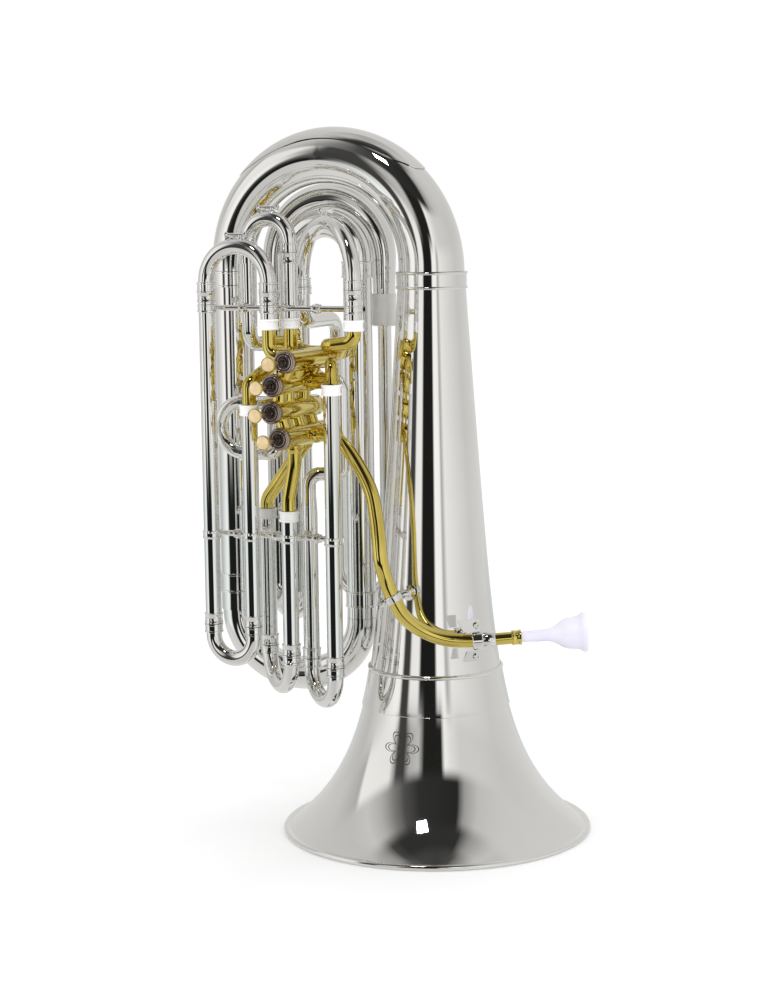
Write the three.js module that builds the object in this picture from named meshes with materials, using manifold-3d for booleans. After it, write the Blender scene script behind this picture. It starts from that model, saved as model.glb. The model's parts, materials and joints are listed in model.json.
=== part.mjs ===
// Front-action four-valve tuba, stood on its bell. Millimetres, +Z up.
// The bell rim rests on z = 0. The branches stand toward -X of the bell and the finger buttons
// point toward -Y. Everything is laid out from the bell's axis and shifted at the end, so that
// the origin is under the middle of the whole instrument.
import * as THREE from 'three';
import { mergeVertices } from 'three/addons/utils/BufferGeometryUtils.js';
import Module from 'manifold-3d';

const wasm = await Module();
wasm.setup();

// ---- driving dimensions -------------------------------------------------------------------
const GAP = 0.3;                     // clearance between two separate pieces
const WALL = 0.8;                    // wall of the small tubing
const BIG_WALL = 1.0;                // wall of the bell and the large branches
const BELL = { rim: 190, straight: 87, slope: 0.0685, flareLength: 78, seam: 182, top: 670 };
const RIM_BEAD = 3.2;                // radius of the wire rolled into the bell rim
const FOOT_WIDTH = 3;                // flat ring the rim rests on
const GARLAND = { low: 158, high: 207, stand: 3.0, thick: 1.6, lip: 3 };
const BRANCH_X = -274.4;             // outer branch
const BOW = { spring: 688, bellRadius: 39.8, crownRadius: 33.5, branchRadius: 25.5 };
const SADDLE = { from: 4, to: 11, fromRadius: 37.2, toRadius: 31.2, clear: 0.6, thick: 1.4 };
const SECOND = { spring: 257, wide: 22.5, narrow: 17.6, depth: 0.86 };
const INNER_X = -100.3;              // inner branch
const RETURN_X = -186.6;             // return branch, narrower again
const RETURN_RADIUS = 17.2;
const ARCH_SPRING = 700;
const REAR_Y = 35;                   // tubes standing behind the plane of the bows
const FRONT_Y = -125;                // front row of slide tubes
const TUBE = 9.8;                    // outside radius of an outer slide tube
const LEG = 8.3;                     // outside radius of an inner slide leg
const LOOP = 8.5;                    // outside radius of the brass tubing round the valves
const COLLAR = 12.2;                 // outside radius of a ferrule
const COLLAR_LENGTH = 13;
const BOW_FOOT = 3;                  // straight length at either end of a bow
const VALVE = { front: -158, back: -50, radius: 13, bore: 11.6, capRadius: 13.3, capDepth: 10 };
const STROKE_ROOM = 20;              // empty length behind a resting piston
const BUTTON = { radius: 8.8, back: -198, depth: 5 };
const TUBE_SIDES = 8;
const BOW_SIDES = 16;
const BELL_SIDES = 28;
const BRANCH_SIDES = 12;
const ROUND_SIDES = 16;              // valve casings, caps and the middle-sized branches

const valves = [
  { x: -125, z: 496 },
  { x: -135, z: 527 },
  { x: -133, z: 559 },
  { x: -116, z: 587 },
];

// slide tubes of the front and middle rows: where each stands
const T = {
  t1: [-241, FRONT_Y],
  t2: [-156, FRONT_Y],
  t3: [-185, FRONT_Y],
  t4: [-143, -95],
  t5: [-199, -95],
  t6: [-43, FRONT_Y],
  t6Rear: [-152, -47],
  t7: [-74, FRONT_Y],
  t8: [-127, -85],
  t9: [-133.5, FRONT_Y],
  t10: [-189, -78],
  t11: [-81, REAR_Y],
};

// ---- finishes -----------------------------------------------------------------------------
const silver = { color: 0xdcdcdc, roughness: 0.08, metalness: 1.0 };
const plain = { color: 0xf2f1ee, roughness: 0.3, metalness: 0.7 };
const brass = { color: 0xd9b23a, roughness: 0.16, metalness: 1.0 };
const steel = { color: 0x6f6763, roughness: 0.3, metalness: 1.0 };
const pearl = { color: 0xf0c898, roughness: 0.3, metalness: 0.0 };
const plastic = { color: 0xe2dff0, roughness: 0.28, metalness: 0.0 };

const tuba = new THREE.Group();
tuba.name = 'tuba';

function add(name, geometry, finish) {
  const mesh = new THREE.Mesh(geometry, new THREE.MeshStandardMaterial(finish));
  mesh.name = name;
  tuba.add(mesh);
}

// ---- shapes -------------------------------------------------------------------------------
const vec = (p) => new THREE.Vector3(p[0], p[1], p[2]);
const at = (xy, z) => [xy[0], xy[1], z];

// Centre line through the given corners; a corner [x, y, z, r] is rounded with radius r.
function route(corners, steps = 3) {
  const line = [vec(corners[0])];
  for (let i = 1; i < corners.length - 1; i++) {
    const corner = vec(corners[i]);
    const before = vec(corners[i - 1]).sub(corner).normalize();
    const after = vec(corners[i + 1]).sub(corner).normalize();
    const half = before.angleTo(after) / 2;
    const radius = corners[i][3];
    const centre = before.clone().add(after).normalize().multiplyScalar(radius / Math.sin(half));
    const axis = new THREE.Vector3().crossVectors(after, before).normalize();
    const start = before.clone().multiplyScalar(radius / Math.tan(half)).sub(centre);
    const sweep = Math.PI - 2 * half;
    for (let k = 0; k <= steps; k++) {
      const spoke = start.clone().applyAxisAngle(axis, (sweep * k) / steps);
      line.push(corner.clone().add(centre).add(spoke));
    }
  }
  line.push(vec(corners[corners.length - 1]));
  return line;
}

// Half circle from foot a to foot b, bulging toward up = +1 or -1 in z. It stands on two short
// straight feet whose ends are at height z. A depth below 1 flattens it into half an ellipse.
function halfCircle(a, b, z, up, steps = 6, depth = 1) {
  const points = [vec(at(a, z))];
  const centre = new THREE.Vector3((a[0] + b[0]) / 2, (a[1] + b[1]) / 2, z + up * BOW_FOOT);
  const arm = new THREE.Vector3(a[0] - centre.x, a[1] - centre.y, 0);
  for (let k = 0; k <= steps; k++) {
    const turn = (Math.PI * k) / steps;
    const p = centre.clone().addScaledVector(arm, Math.cos(turn));
    p.z += up * depth * arm.length() * Math.sin(turn);
    points.push(p);
  }
  points.push(vec(at(b, z)));
  return points;
}

// Rings of points round a centre line. The radius is a number, or pairs [distance, radius] along
// the line; a negative distance counts from the far end, and two pairs at one distance make a step.
function rings(line, radius, side, sides) {
  const along = [0];
  for (let i = 1; i < line.length; i++) along.push(along[i - 1] + line[i].distanceTo(line[i - 1]));
  const length = along[along.length - 1];
  const steps = Array.isArray(radius) ? radius : [[0, radius], [length, radius]];
  const outline = steps.map(([s, r]) => [s < 0 ? length + s : Math.min(s, length), r]);
  const radiusAt = (s) => {
    for (let i = 1; i < outline.length; i++) {
      const [s0, r0] = outline[i - 1];
      const [s1, r1] = outline[i];
      if (s <= s1 && s1 > s0) return r0 + ((r1 - r0) * Math.max(0, s - s0)) / (s1 - s0);
    }
    return outline[outline.length - 1][1];
  };
  const stations = outline.map(([s, r]) => [s, r]);
  for (const s of along) {
    if (!outline.some((o) => Math.abs(o[0] - s) < 1e-6)) stations.push([s, radiusAt(s)]);
  }
  const order = stations.map((station, i) => [...station, i]);
  order.sort((a, b) => (Math.abs(a[0] - b[0]) > 1e-9 ? a[0] - b[0] : a[2] - b[2]));

  let normal = side.clone();
  const result = [];
  for (const [s, r] of order) {
    let i = 0;
    while (i < along.length - 2 && along[i + 1] <= s) i += 1;
    const point = line[i].clone().lerp(line[i + 1], (s - along[i]) / (along[i + 1] - along[i]));
    const tangent = line[i + 1].clone().sub(line[i]).normalize();
    if (i > 0 && Math.abs(s - along[i]) < 1e-6) {
      tangent.add(line[i].clone().sub(line[i - 1]).normalize()).normalize();
    }
    normal = normal.clone().addScaledVector(tangent, -normal.dot(tangent)).normalize();
    const across = new THREE.Vector3().crossVectors(tangent, normal);
    const ring = [];
    for (let k = 0; k < sides; k++) {
      const turn = (2 * Math.PI * k) / sides;
      ring.push(point.clone()
        .addScaledVector(normal, r * Math.cos(turn))
        .addScaledVector(across, r * Math.sin(turn)));
    }
    result.push(ring);
  }
  return result;
}

function closedSkin(grid) {
  const sides = grid[0].length;
  const positions = grid.flat().flatMap((p) => [p.x, p.y, p.z]);
  const index = [];
  for (let i = 0; i < grid.length; i++) {
    const next = (i + 1) % grid.length;
    for (let k = 0; k < sides; k++) {
      const a = i * sides + k;
      const b = i * sides + ((k + 1) % sides);
      const c = next * sides + ((k + 1) % sides);
      const d = next * sides + k;
      index.push(a, b, c, a, c, d);
    }
  }
  const geometry = new THREE.BufferGeometry();
  geometry.setAttribute('position', new THREE.Float32BufferAttribute(positions, 3));
  geometry.setIndex(index);
  geometry.computeVertexNormals();
  return geometry;
}

// Hollow tube open at both ends. side is a direction square to the first stretch.
function pipe(line, outer, inner, side, sides = TUBE_SIDES) {
  const skin = rings(line, outer, side, sides);
  const lining = rings(line, inner, side, sides).reverse();
  return closedSkin([...skin, ...lining]);
}

// Solid bar from a to b.
function bar(a, b, radius, side, sides = TUBE_SIDES) {
  const skin = rings([vec(a), vec(b)], radius, side, sides);
  const geometry = closedSkin(skin);
  const index = [...geometry.index.array].slice(0, (skin.length - 1) * sides * 6);
  const last = (skin.length - 1) * sides;
  for (let k = 1; k < sides - 1; k++) {
    index.push(0, k + 1, k);
    index.push(last, last + k, last + k + 1);
  }
  geometry.setIndex(index);
  return geometry;
}

// Turned shape: outline of [radius, height] pairs, stood on base and pointing along direction.
function turned(outline, base, direction, sides) {
  const geometry = new THREE.LatheGeometry(outline.map(([r, h]) => new THREE.Vector2(r, h)), sides);
  const upright = new THREE.Vector3(0, 1, 0);
  const turn = new THREE.Quaternion().setFromUnitVectors(upright, vec(direction).normalize());
  geometry.applyQuaternion(turn);
  geometry.translate(base[0], base[1], base[2]);
  return geometry;
}

function toSolid(geometry) {
  const bare = geometry.clone();
  bare.deleteAttribute('normal');
  bare.deleteAttribute('uv');
  const merged = mergeVertices(bare, 1e-4);
  return new wasm.Manifold(new wasm.Mesh({
    numProp: 3,
    vertProperties: new Float32Array(merged.attributes.position.array),
    triVerts: new Uint32Array(merged.index.array),
  }));
}

function fromSolid(solid) {
  const mesh = solid.getMesh();
  const geometry = new THREE.BufferGeometry();
  geometry.setAttribute('position', new THREE.BufferAttribute(mesh.vertProperties, 3));
  geometry.setIndex(new THREE.BufferAttribute(mesh.triVerts, 1));
  geometry.computeVertexNormals();
  return geometry;
}

const SIDE_X = new THREE.Vector3(1, 0, 0);
const SIDE_Y = new THREE.Vector3(0, 1, 0);
const SIDE_Z = new THREE.Vector3(0, 0, 1);

// Level direction square to the line joining two feet.
function squareTo(a, b) {
  return new THREE.Vector3(b[1] - a[1], a[0] - b[0], 0).normalize();
}

// ---- bell -----------------------------------------------------------------------------------
function bellRadius(z) {
  const flare = BELL.rim - BELL.straight;
  return BELL.straight - BELL.slope * z + flare * Math.exp(-z / BELL.flareLength);
}

function bell() {
  const flareHeights = [10, 26, 50, 84, 120, GARLAND.low, BELL.seam - GAP];
  const stackHeights = [BELL.seam, GARLAND.high, 260, 380, BELL.top];
  const sheet = (heights) => [
    ...heights.map((z) => [bellRadius(z), z]),
    ...heights.slice().reverse().map((z) => [bellRadius(z) - BIG_WALL, z]),
  ];
  const flare = sheet(flareHeights);
  const rim = [
    [bellRadius(10) - BIG_WALL, 10],
    [BELL.rim - 2 * RIM_BEAD, RIM_BEAD],
    [BELL.rim - RIM_BEAD - FOOT_WIDTH / 2, 0],
    [BELL.rim - RIM_BEAD + FOOT_WIDTH / 2, 0],
    [BELL.rim, RIM_BEAD],
    [BELL.rim - RIM_BEAD + 1, 2 * RIM_BEAD],
  ];
  flare.pop();
  add('bell_flare', turned([...flare, ...rim, flare[0]], [0, 0, 0], [0, 0, 1], BELL_SIDES), silver);

  const stack = sheet(stackHeights);
  add('bell_stack', turned([...stack, stack[0]], [0, 0, 0], [0, 0, 1], BELL_SIDES), silver);

  const band = [GARLAND.low, BELL.seam - GAP, BELL.seam, GARLAND.high];
  const garland = [
    ...band.map((z) => [bellRadius(z) + GAP, z]).reverse(),
    [bellRadius(GARLAND.low) + GARLAND.thick, GARLAND.low],
    [bellRadius(BELL.seam) + GARLAND.thick, BELL.seam],
    [bellRadius(GARLAND.high) + GARLAND.thick, GARLAND.high - GARLAND.lip - 1],
    [bellRadius(GARLAND.high) + GARLAND.stand, GARLAND.high - GARLAND.lip],
    [bellRadius(GARLAND.high) + GARLAND.stand, GARLAND.high],
  ];
  add('bell_garland', turned([...garland, garland[0]], [0, 0, 0], [0, 0, 1], BELL_SIDES), silver);
}

// ---- large branches -------------------------------------------------------------------------
function bigBow() {
  const line = halfCircle([0, 0], [BRANCH_X, 0], BOW.spring, 1, 12);
  const length = (Math.PI * -BRANCH_X) / 2 + 2 * BOW_FOOT;
  const outer = [[0, BOW.bellRadius], [length / 2, BOW.crownRadius], [-0.01, BOW.branchRadius]];
  const inner = outer.map(([s, r]) => [s, r - BIG_WALL]);
  add('big_bow', pipe(line, outer, inner, SIDE_Y, BOW_SIDES), silver);

  // saddle plate lying on the outside of the crown
  const crown = line.slice(SADDLE.from, SADDLE.to);
  const plate = (lift) => rings(
    crown, [[0, SADDLE.fromRadius + lift], [-0.01, SADDLE.toRadius + lift]], SIDE_Y, BOW_SIDES,
  );
  const first = (BOW_SIDES * 5) / 8;
  const last = (BOW_SIDES * 7) / 8;
  const under = plate(SADDLE.clear).map((ring) => ring.slice(first, last + 1));
  const over = plate(SADDLE.clear + SADDLE.thick).map((ring) => ring.slice(first, last + 1));
  const grid = over.map((ring, i) => [...ring, ...under[i].slice().reverse()]);
  const sides = grid[0].length;
  const count = grid.length;
  const geometry = closedSkin(grid);
  const index = [...geometry.index.array].slice(0, (count - 1) * sides * 6);
  const half = sides / 2;
  const end = (count - 1) * sides;
  for (let k = 0; k < half - 1; k++) {
    index.push(k, sides - 2 - k, k + 1, k, sides - 1 - k, sides - 2 - k);
    index.push(end + k, end + k + 1, end + sides - 2 - k, end + k, end + sides - 2 - k, end + sides - 1 - k);
  }
  geometry.setIndex(index);
  add('bow_guard', geometry, silver);
}

function bowFerrule() {
  const lip = 3;
  const lipOut = 2.4;
  const sleeveOut = 1.4;
  const low = BELL.top - lip;
  const high = BOW.spring - GAP;
  const join = BELL.top + lip;
  const outline = [
    [bellRadius(low) + GAP, low],
    [bellRadius(low) + lipOut, low],
    [bellRadius(low) + lipOut, low + lip],
    [bellRadius(low) + sleeveOut, low + lip + 1],
    [BOW.bellRadius + sleeveOut, high - lip - 1],
    [BOW.bellRadius + lipOut, high - lip],
    [BOW.bellRadius + lipOut, high],
    [BOW.bellRadius - BIG_WALL, high],
    [bellRadius(join) - BIG_WALL, join],
    [bellRadius(BELL.top) - BIG_WALL, BELL.top + GAP],
    [bellRadius(BELL.top) + GAP, BELL.top + GAP],
  ];
  add('bow_ferrule', turned([...outline, outline[0]], [0, 0, 0], [0, 0, 1], BELL_SIDES), silver);
}

function branches() {
  const ferrule = 20;
  const foot = 14;                  // plain length below the lower ferrule
  const outerTop = BOW.spring - GAP;
  const outerLow = SECOND.spring + GAP;
  const outer = { foot: 24.2, lowFerrule: 25.6, low: 23.6, high: 24.6, highFerrule: 27.2 };
  add('outer_branch', pipe(
    [vec([BRANCH_X, 0, outerLow]), vec([BRANCH_X, 0, outerTop])],
    [[0, outer.foot], [foot, outer.foot], [foot, outer.lowFerrule], [foot + ferrule, outer.lowFerrule],
      [foot + ferrule, outer.low], [-ferrule, outer.high], [-ferrule, outer.highFerrule],
      [-0.01, outer.highFerrule]],
    [[0, outer.low - 2 * BIG_WALL], [-0.01, outer.high - 1.2 * BIG_WALL]], SIDE_Y, ROUND_SIDES), silver);

  const second = halfCircle([BRANCH_X, 0], [INNER_X, 0], SECOND.spring, -1, 9, SECOND.depth);
  const bend = (Math.PI * (INNER_X - BRANCH_X)) / 2;
  add('second_bow', pipe(second, [[0, SECOND.wide], [bend, SECOND.narrow + 1]],
    [[0, SECOND.wide - BIG_WALL], [bend, SECOND.narrow]], SIDE_Y, ROUND_SIDES), silver);

  const inner = { foot: 18.6, lowFerrule: 20.4, highFerrule: 19.4 };
  add('inner_branch', pipe(
    [vec([INNER_X, 0, SECOND.spring + GAP]), vec([INNER_X, 0, ARCH_SPRING - GAP])],
    [[0, inner.foot], [foot, inner.foot], [foot, inner.lowFerrule], [foot + ferrule, inner.lowFerrule],
      [foot + ferrule, SECOND.narrow], [-ferrule, SECOND.narrow], [-ferrule, inner.highFerrule],
      [-0.01, inner.highFerrule]],
    SECOND.narrow - BIG_WALL, SIDE_Y, BRANCH_SIDES), silver);

  const arch = halfCircle([INNER_X, 0], [RETURN_X, 0], ARCH_SPRING, 1, 7);
  add('upper_arch', pipe(arch, [[0, SECOND.narrow], [-0.01, RETURN_RADIUS]],
    [[0, SECOND.narrow - BIG_WALL], [-0.01, RETURN_RADIUS - BIG_WALL]], SIDE_Y, BRANCH_SIDES), silver);
}

// ---- tubes behind the bows ------------------------------------------------------------------
const REAR = {
  turn: 628,                        // height where the tube from the tuning crook turns back
  turnBend: 18,
  feedX: -148,                      // long way down behind the valves
  foot: 280,                        // lowest point of the small tube
  footBend: 33,
  ferruleLow: 619,
  ferruleHigh: 660,
  ferruleRadius: 14.5,
  archTop: 776,
  archStart: 13.8,                  // radius of the wide tube where it leaves its ferrule
  archCrown: 19.4,
  wideLegX: -229,
  wideFoot: 262,
  wideBend: 27,
};

function rearTubes() {
  const riseX = T.t11[0];
  const feed = route([
    at(T.t6Rear, RISE_TOP.t6Rear),
    [...T.t6Rear, REAR.turn, REAR.turnBend],
    [REAR.feedX, REAR_Y, REAR.turn, REAR.turnBend],
    [REAR.feedX, REAR_Y, REAR.foot, REAR.footBend],
    [riseX, REAR_Y, REAR.foot, REAR.footBend],
    [riseX, REAR_Y, REAR.ferruleLow - GAP],
  ]);
  const sleeve = 60;
  const narrow = 120;
  const feedOutside = [
    [0, COLLAR], [8, COLLAR], [8, TUBE], [sleeve, TUBE], [narrow, LOOP], [-0.01, LOOP],
  ];
  const feedInside = [[0, LEG + GAP], [sleeve, LEG + GAP], [narrow, LOOP - WALL], [-0.01, LOOP - WALL]];
  add('rear_loop', pipe(feed, feedOutside, feedInside, squareTo(T.t6Rear, T.t6)), silver);

  const arch = (riseX - REAR.wideLegX) / 2 - 0.01;
  const wide = route([
    [riseX, REAR_Y, REAR.ferruleLow],
    [riseX, REAR_Y, REAR.archTop, arch],
    [REAR.wideLegX, REAR_Y, REAR.archTop, arch],
    [REAR.wideLegX, REAR_Y, REAR.wideFoot, REAR.wideBend],
    [RETURN_X, 0, REAR.wideFoot, REAR.wideBend],
    [RETURN_X, 0, ARCH_SPRING - GAP],
  ], 4);
  const ferrule = REAR.ferruleHigh - REAR.ferruleLow;
  const crown = REAR.archTop - REAR.ferruleLow - arch + (arch * Math.PI) / 2;
  const wideInside = [
    [0, REAR.archStart - BIG_WALL], [ferrule, REAR.archStart - BIG_WALL],
    [crown, REAR.archCrown - BIG_WALL], [-0.01, RETURN_RADIUS - BIG_WALL],
  ];
  const wideOutside = [
    [0, REAR.ferruleRadius], [ferrule, REAR.ferruleRadius], [ferrule, REAR.archStart],
    [crown, REAR.archCrown], [-0.01, RETURN_RADIUS],
  ];
  add('return_branch', pipe(wide, wideOutside, wideInside, SIDE_Y, ROUND_SIDES), silver);
}

// ---- slide tubes ----------------------------------------------------------------------------
// Heights: the fixed tubes run from LOW to TOP; the bows above and below plug into them.
const RISE_TOP = {
  t1: 667, t2: 667, t4: 713, t5: 713, t6: 670, t6Rear: 670, t3: 532, t7: 559, t9: 406, t10: 401,
};
const FOOT = { t1: 262, t3: 262, t9: 231, t10: 231, t7: 220, t8: 220, t2: 622, t4: 622, t6: 622 };

// Fixed straight tube with a ferrule at either end, turned so its facets match the sliding legs.
function outerTube(name, key, mate, finish = silver) {
  const line = [vec(at(T[key], FOOT[key])), vec(at(T[key], RISE_TOP[key]))];
  const outline = [
    [0, COLLAR], [COLLAR_LENGTH, COLLAR], [COLLAR_LENGTH, TUBE],
    [-COLLAR_LENGTH, TUBE], [-COLLAR_LENGTH, COLLAR], [-0.01, COLLAR],
  ];
  add(name, pipe(line, outline, LEG + GAP, squareTo(T[key], T[mate])), finish);
}

function slideTubes() {
  outerTube('tube_4th_left', 't1', 't3');
  outerTube('tube_4th_upper', 't2', 't1');
  outerTube('tube_4th_right', 't3', 't1');
  outerTube('tube_main_right', 't4', 't5');
  outerTube('tube_crook_right', 't6', 't6Rear');
  outerTube('tube_3rd_front', 't7', 't8');
  outerTube('tube_1st_front', 't9', 't10');
  outerTube('tube_1st_rear', 't10', 't9');

  const elbow = route([
    at(T.t5, RISE_TOP.t5),
    [...T.t5, CROOK.left[2], 16],
    CROOK.left,
  ]);
  const legRoom = 60;
  const elbowOutside = [
    [0, COLLAR], [COLLAR_LENGTH, COLLAR], [COLLAR_LENGTH, TUBE], [legRoom, TUBE],
    [-30, LOOP + 0.6], [-0.01, LOOP + 0.6],
  ];
  const elbowInside = [[0, LEG + GAP], [legRoom, LEG + GAP], [-20, LOOP - WALL], [-0.01, LOOP - WALL]];
  add('tube_main_left', pipe(elbow, elbowOutside, elbowInside, squareTo(T.t4, T.t5)), silver);

  // the third slide's rear tube turns in under the valves and climbs to its port
  const turnIn = { x: -90, z: 446 };
  const third = route([
    at(T.t8, FOOT.t8),
    [...T.t8, turnIn.z, 14],
    [turnIn.x, ports.t8.y, turnIn.z, 9],
    [turnIn.x, ports.t8.y, valves[2].z, 13],
    mouth('t8'),
  ]);
  const sleeve = 180;
  const narrow = 200;
  const thirdOutside = [
    [0, COLLAR], [COLLAR_LENGTH, COLLAR], [COLLAR_LENGTH, TUBE], [sleeve, TUBE], [narrow, LOOP],
    [-0.01, LOOP],
  ];
  const thirdInside = [[0, LEG + GAP], [sleeve, LEG + GAP], [narrow, LOOP - WALL], [-0.01, LOOP - WALL]];
  add('tube_3rd_rear', pipe(third, thirdOutside, thirdInside, squareTo(T.t7, T.t8)), silver);
}

// ---- brass tubing round the valves ------------------------------------------------------------
const STUB = 20;                    // how far a port stands out from a valve's axis
const ELBOW_BEND = 9;
// tube from the third slide over to its valve
const HOOK = { top: 584, bend: 12, x: -89, radius: 7.5 };
// tube from the tuning crook round behind the fourth valve to the main slide
const CROOK = { low: 590, high: 604, x: -83, y: -38, left: [-190.9, -62, 602] };

// Point at the mouth of a port, a little clear of it.
function portMouth(valve, direction, y, shift = 0) {
  const [dx, dz] = direction;
  const size = Math.hypot(dx, dz);
  const reach = (STUB + GAP) / size;
  return [valve.x + dx * reach, y, valve.z + dz * reach + shift];
}

const ports = {
  lead: { valve: 0, direction: [1, 0], y: -98 },
  t9: { valve: 0, direction: [0, -1], y: FRONT_Y },
  t10: { valve: 0, direction: [-64, -84], y: -78 },
  loopUpper: { valve: 1, direction: [-1, 0], y: -98, shift: 5 },
  loopLower: { valve: 1, direction: [-1, 0], y: -70 },
  t7: { valve: 2, direction: [1, 0], y: -92 },
  t8: { valve: 2, direction: [1, 0], y: -66 },
  t2: { valve: 3, direction: [-1, 0], y: FRONT_Y, shift: 4 },
  t3: { valve: 3, direction: [-1, 0], y: -72 },
};
const knuckles = [
  { from: 0, to: 1, y: -104 },
  { from: 1, to: 2, y: -122 },
  { from: 2, to: 3, y: -114 },
];

function mouth(key) {
  const port = ports[key];
  return portMouth(valves[port.valve], port.direction, port.y, port.shift || 0);
}

function brassTube(name, corners, side = SIDE_Y) {
  add(name, pipe(route(corners), LOOP, LOOP - WALL, side), brass);
}

function valveTubes() {
  brassTube('brass_4th_in', [at(T.t2, FOOT.t2 - GAP), [T.t2[0], FRONT_Y, mouth('t2')[2], 14], mouth('t2')]);
  brassTube('brass_4th_out', [
    at(T.t3, RISE_TOP.t3 + GAP), [T.t3[0], FRONT_Y, 558, 12],
    [-165, ports.t3.y, valves[3].z, 14], mouth('t3'),
  ]);
  brassTube('main_crook', [
    [CROOK.left[0] + 0.1, CROOK.left[1] + 0.5, CROOK.left[2]],
    [-185, CROOK.y, CROOK.left[2], 10],
    [-150, CROOK.y, CROOK.low, 15],
    [-102, CROOK.y, CROOK.low, 15],
    [CROOK.x, -64, CROOK.high, 12],
    [CROOK.x, FRONT_Y, CROOK.high, 14],
    [T.t6[0], FRONT_Y, CROOK.high + 5, 12],
    at(T.t6, FOOT.t6 - GAP),
  ], SIDE_Z);
  const hook = route([
    at(T.t7, RISE_TOP.t7 + GAP), [...T.t7, HOOK.top, HOOK.bend], [HOOK.x, ports.t7.y, HOOK.top, HOOK.bend],
    [HOOK.x, ports.t7.y, valves[2].z, HOOK.bend], mouth('t7'),
  ]);
  const hookOutside = [[0, HOOK.radius], [-20, HOOK.radius], [-8, LOOP], [-0.01, LOOP]];
  add('brass_3rd', pipe(hook, hookOutside, hookOutside.map(([s, r]) => [s, r - WALL]), SIDE_X), brass);
  brassTube('brass_1st_front', [
    at(T.t9, RISE_TOP.t9 + GAP), [...T.t9, 420, 40], [valves[0].x, FRONT_Y, 462, 40], mouth('t9'),
  ]);
  brassTube('brass_1st_rear', [at(T.t10, RISE_TOP.t10 + GAP), [...T.t10, 412, 20], mouth('t10')]);
}

// ---- valves -----------------------------------------------------------------------------------
const LOOP_LEGS = { upper: 532, lower: 471, y: -98, mouth: -205, centre: -210 };

function casing(n) {
  const { x, z } = valves[n];
  const point = (y) => [x, y, z];
  let solid = toSolid(bar(point(VALVE.front), point(VALVE.back), VALVE.radius, SIDE_X, ROUND_SIDES));
  const capFront = point(VALVE.back - VALVE.capDepth);
  const capRim = bar(capFront, point(VALVE.back), VALVE.capRadius, SIDE_X, ROUND_SIDES);
  solid = solid.add(toSolid(capRim));
  const boreBar = bar(point(VALVE.front - 1), point(VALVE.back - 2), VALVE.bore, SIDE_X, ROUND_SIDES);
  const bores = [toSolid(boreBar)];

  const standOut = (a, b) => {
    solid = solid.add(toSolid(bar(a, b, LOOP, SIDE_Y)));
    bores.push(toSolid(bar(a, b.map((v, i) => v + (v - a[i]) * 0.1), LOOP - WALL, SIDE_Y)));
  };
  for (const key of Object.keys(ports)) {
    const port = ports[key];
    if (port.valve !== n) continue;
    const size = Math.hypot(...port.direction);
    const dz = port.shift || 0;
    const tip = [x + (port.direction[0] * STUB) / size, port.y, z + (port.direction[1] * STUB) / size + dz];
    standOut([x, port.y, z + dz], tip);
  }
  for (const knuckle of knuckles) {
    if (knuckle.from !== n) continue;
    const next = valves[knuckle.to];
    standOut([x, knuckle.y, z], [next.x, knuckle.y, next.z]);
    const clear = VALVE.radius + GAP;
    const nextFront = [next.x, VALVE.front, next.z];
    const nextBack = [next.x, VALVE.back, next.z];
    bores.push(toSolid(bar(nextFront, nextBack, clear, SIDE_X, ROUND_SIDES)));
  }
  for (const bore of bores) solid = solid.subtract(bore);
  if (n === 3) {
    // the port toward the main slide is an elbow brazed into the casing wall
    const [ex, ey] = T.t4;
    const wall = x - (VALVE.radius + VALVE.bore) / 2;
    const drawn = route([at(T.t4, FOOT.t4 - GAP), [ex, ey, z, ELBOW_BEND], [wall, ey, z]]);
    solid = solid.add(toSolid(pipe(drawn, LOOP, LOOP - WALL, SIDE_Y)));
  }
  add(`valve_casing_${n + 1}`, fromSolid(solid), brass);
}

function topCap(n) {
  const { x, z } = valves[n];
  const r = VALVE.capRadius;
  const stem = 3.4;
  const outline = [
    [stem, 0], [r, 0], [r, 6], [r - 3, 8], [r - 6, 7], [stem, 9],
  ];
  const base = [x, VALVE.front - GAP, z];
  add(`valve_cap_${n + 1}`, turned([...outline, outline[0]], base, [0, -1, 0], ROUND_SIDES), steel);
}

function piston(n) {
  const { x, z } = valves[n];
  const r = VALVE.bore - GAP;
  const stem = 2.6;
  const foot = VALVE.back - 2 - STROKE_ROOM;
  const head = VALVE.front + STROKE_ROOM;
  const top = BUTTON.back + GAP;
  const outline = [
    [0, 0], [r, 0], [r, foot - head], [r - 3, foot - head + 2], [stem, foot - head + 2],
    [stem, foot - top], [0, foot - top],
  ];
  const body = turned(outline, [x, foot, z], [0, -1, 0], ROUND_SIDES);
  add(`piston_${n + 1}`, body, steel);

  const b = BUTTON;
  const button = [
    [0, 0], [b.radius - 1, 0], [b.radius, 1.2], [b.radius, b.depth - 1], [0, b.depth],
  ];
  add(`finger_button_${n + 1}`, turned(button, [x, BUTTON.back, z], [0, -1, 0], ROUND_SIDES), pearl);
}

// Tubes of the second valve's loop, open to the left for the slide.
function secondLoop() {
  const { upper, lower, y, mouth: end } = LOOP_LEGS;
  const collar = [[0, LOOP + 2.4], [8, LOOP + 2.4], [8, LOOP], [-0.01, LOOP]];
  const upperLine = route([[end, y, upper], mouth('loopUpper')]);
  add('tube_2nd_upper', pipe(upperLine, collar, LOOP - WALL, SIDE_Y), silver);
  const lowerLine = route([
    [end, y, lower], [-164, y, lower, 8], [-170, ports.loopLower.y, valves[1].z, 10], mouth('loopLower'),
  ]);
  add('tube_2nd_lower', pipe(lowerLine, collar, LOOP - WALL, SIDE_Y), silver);
}

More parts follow.
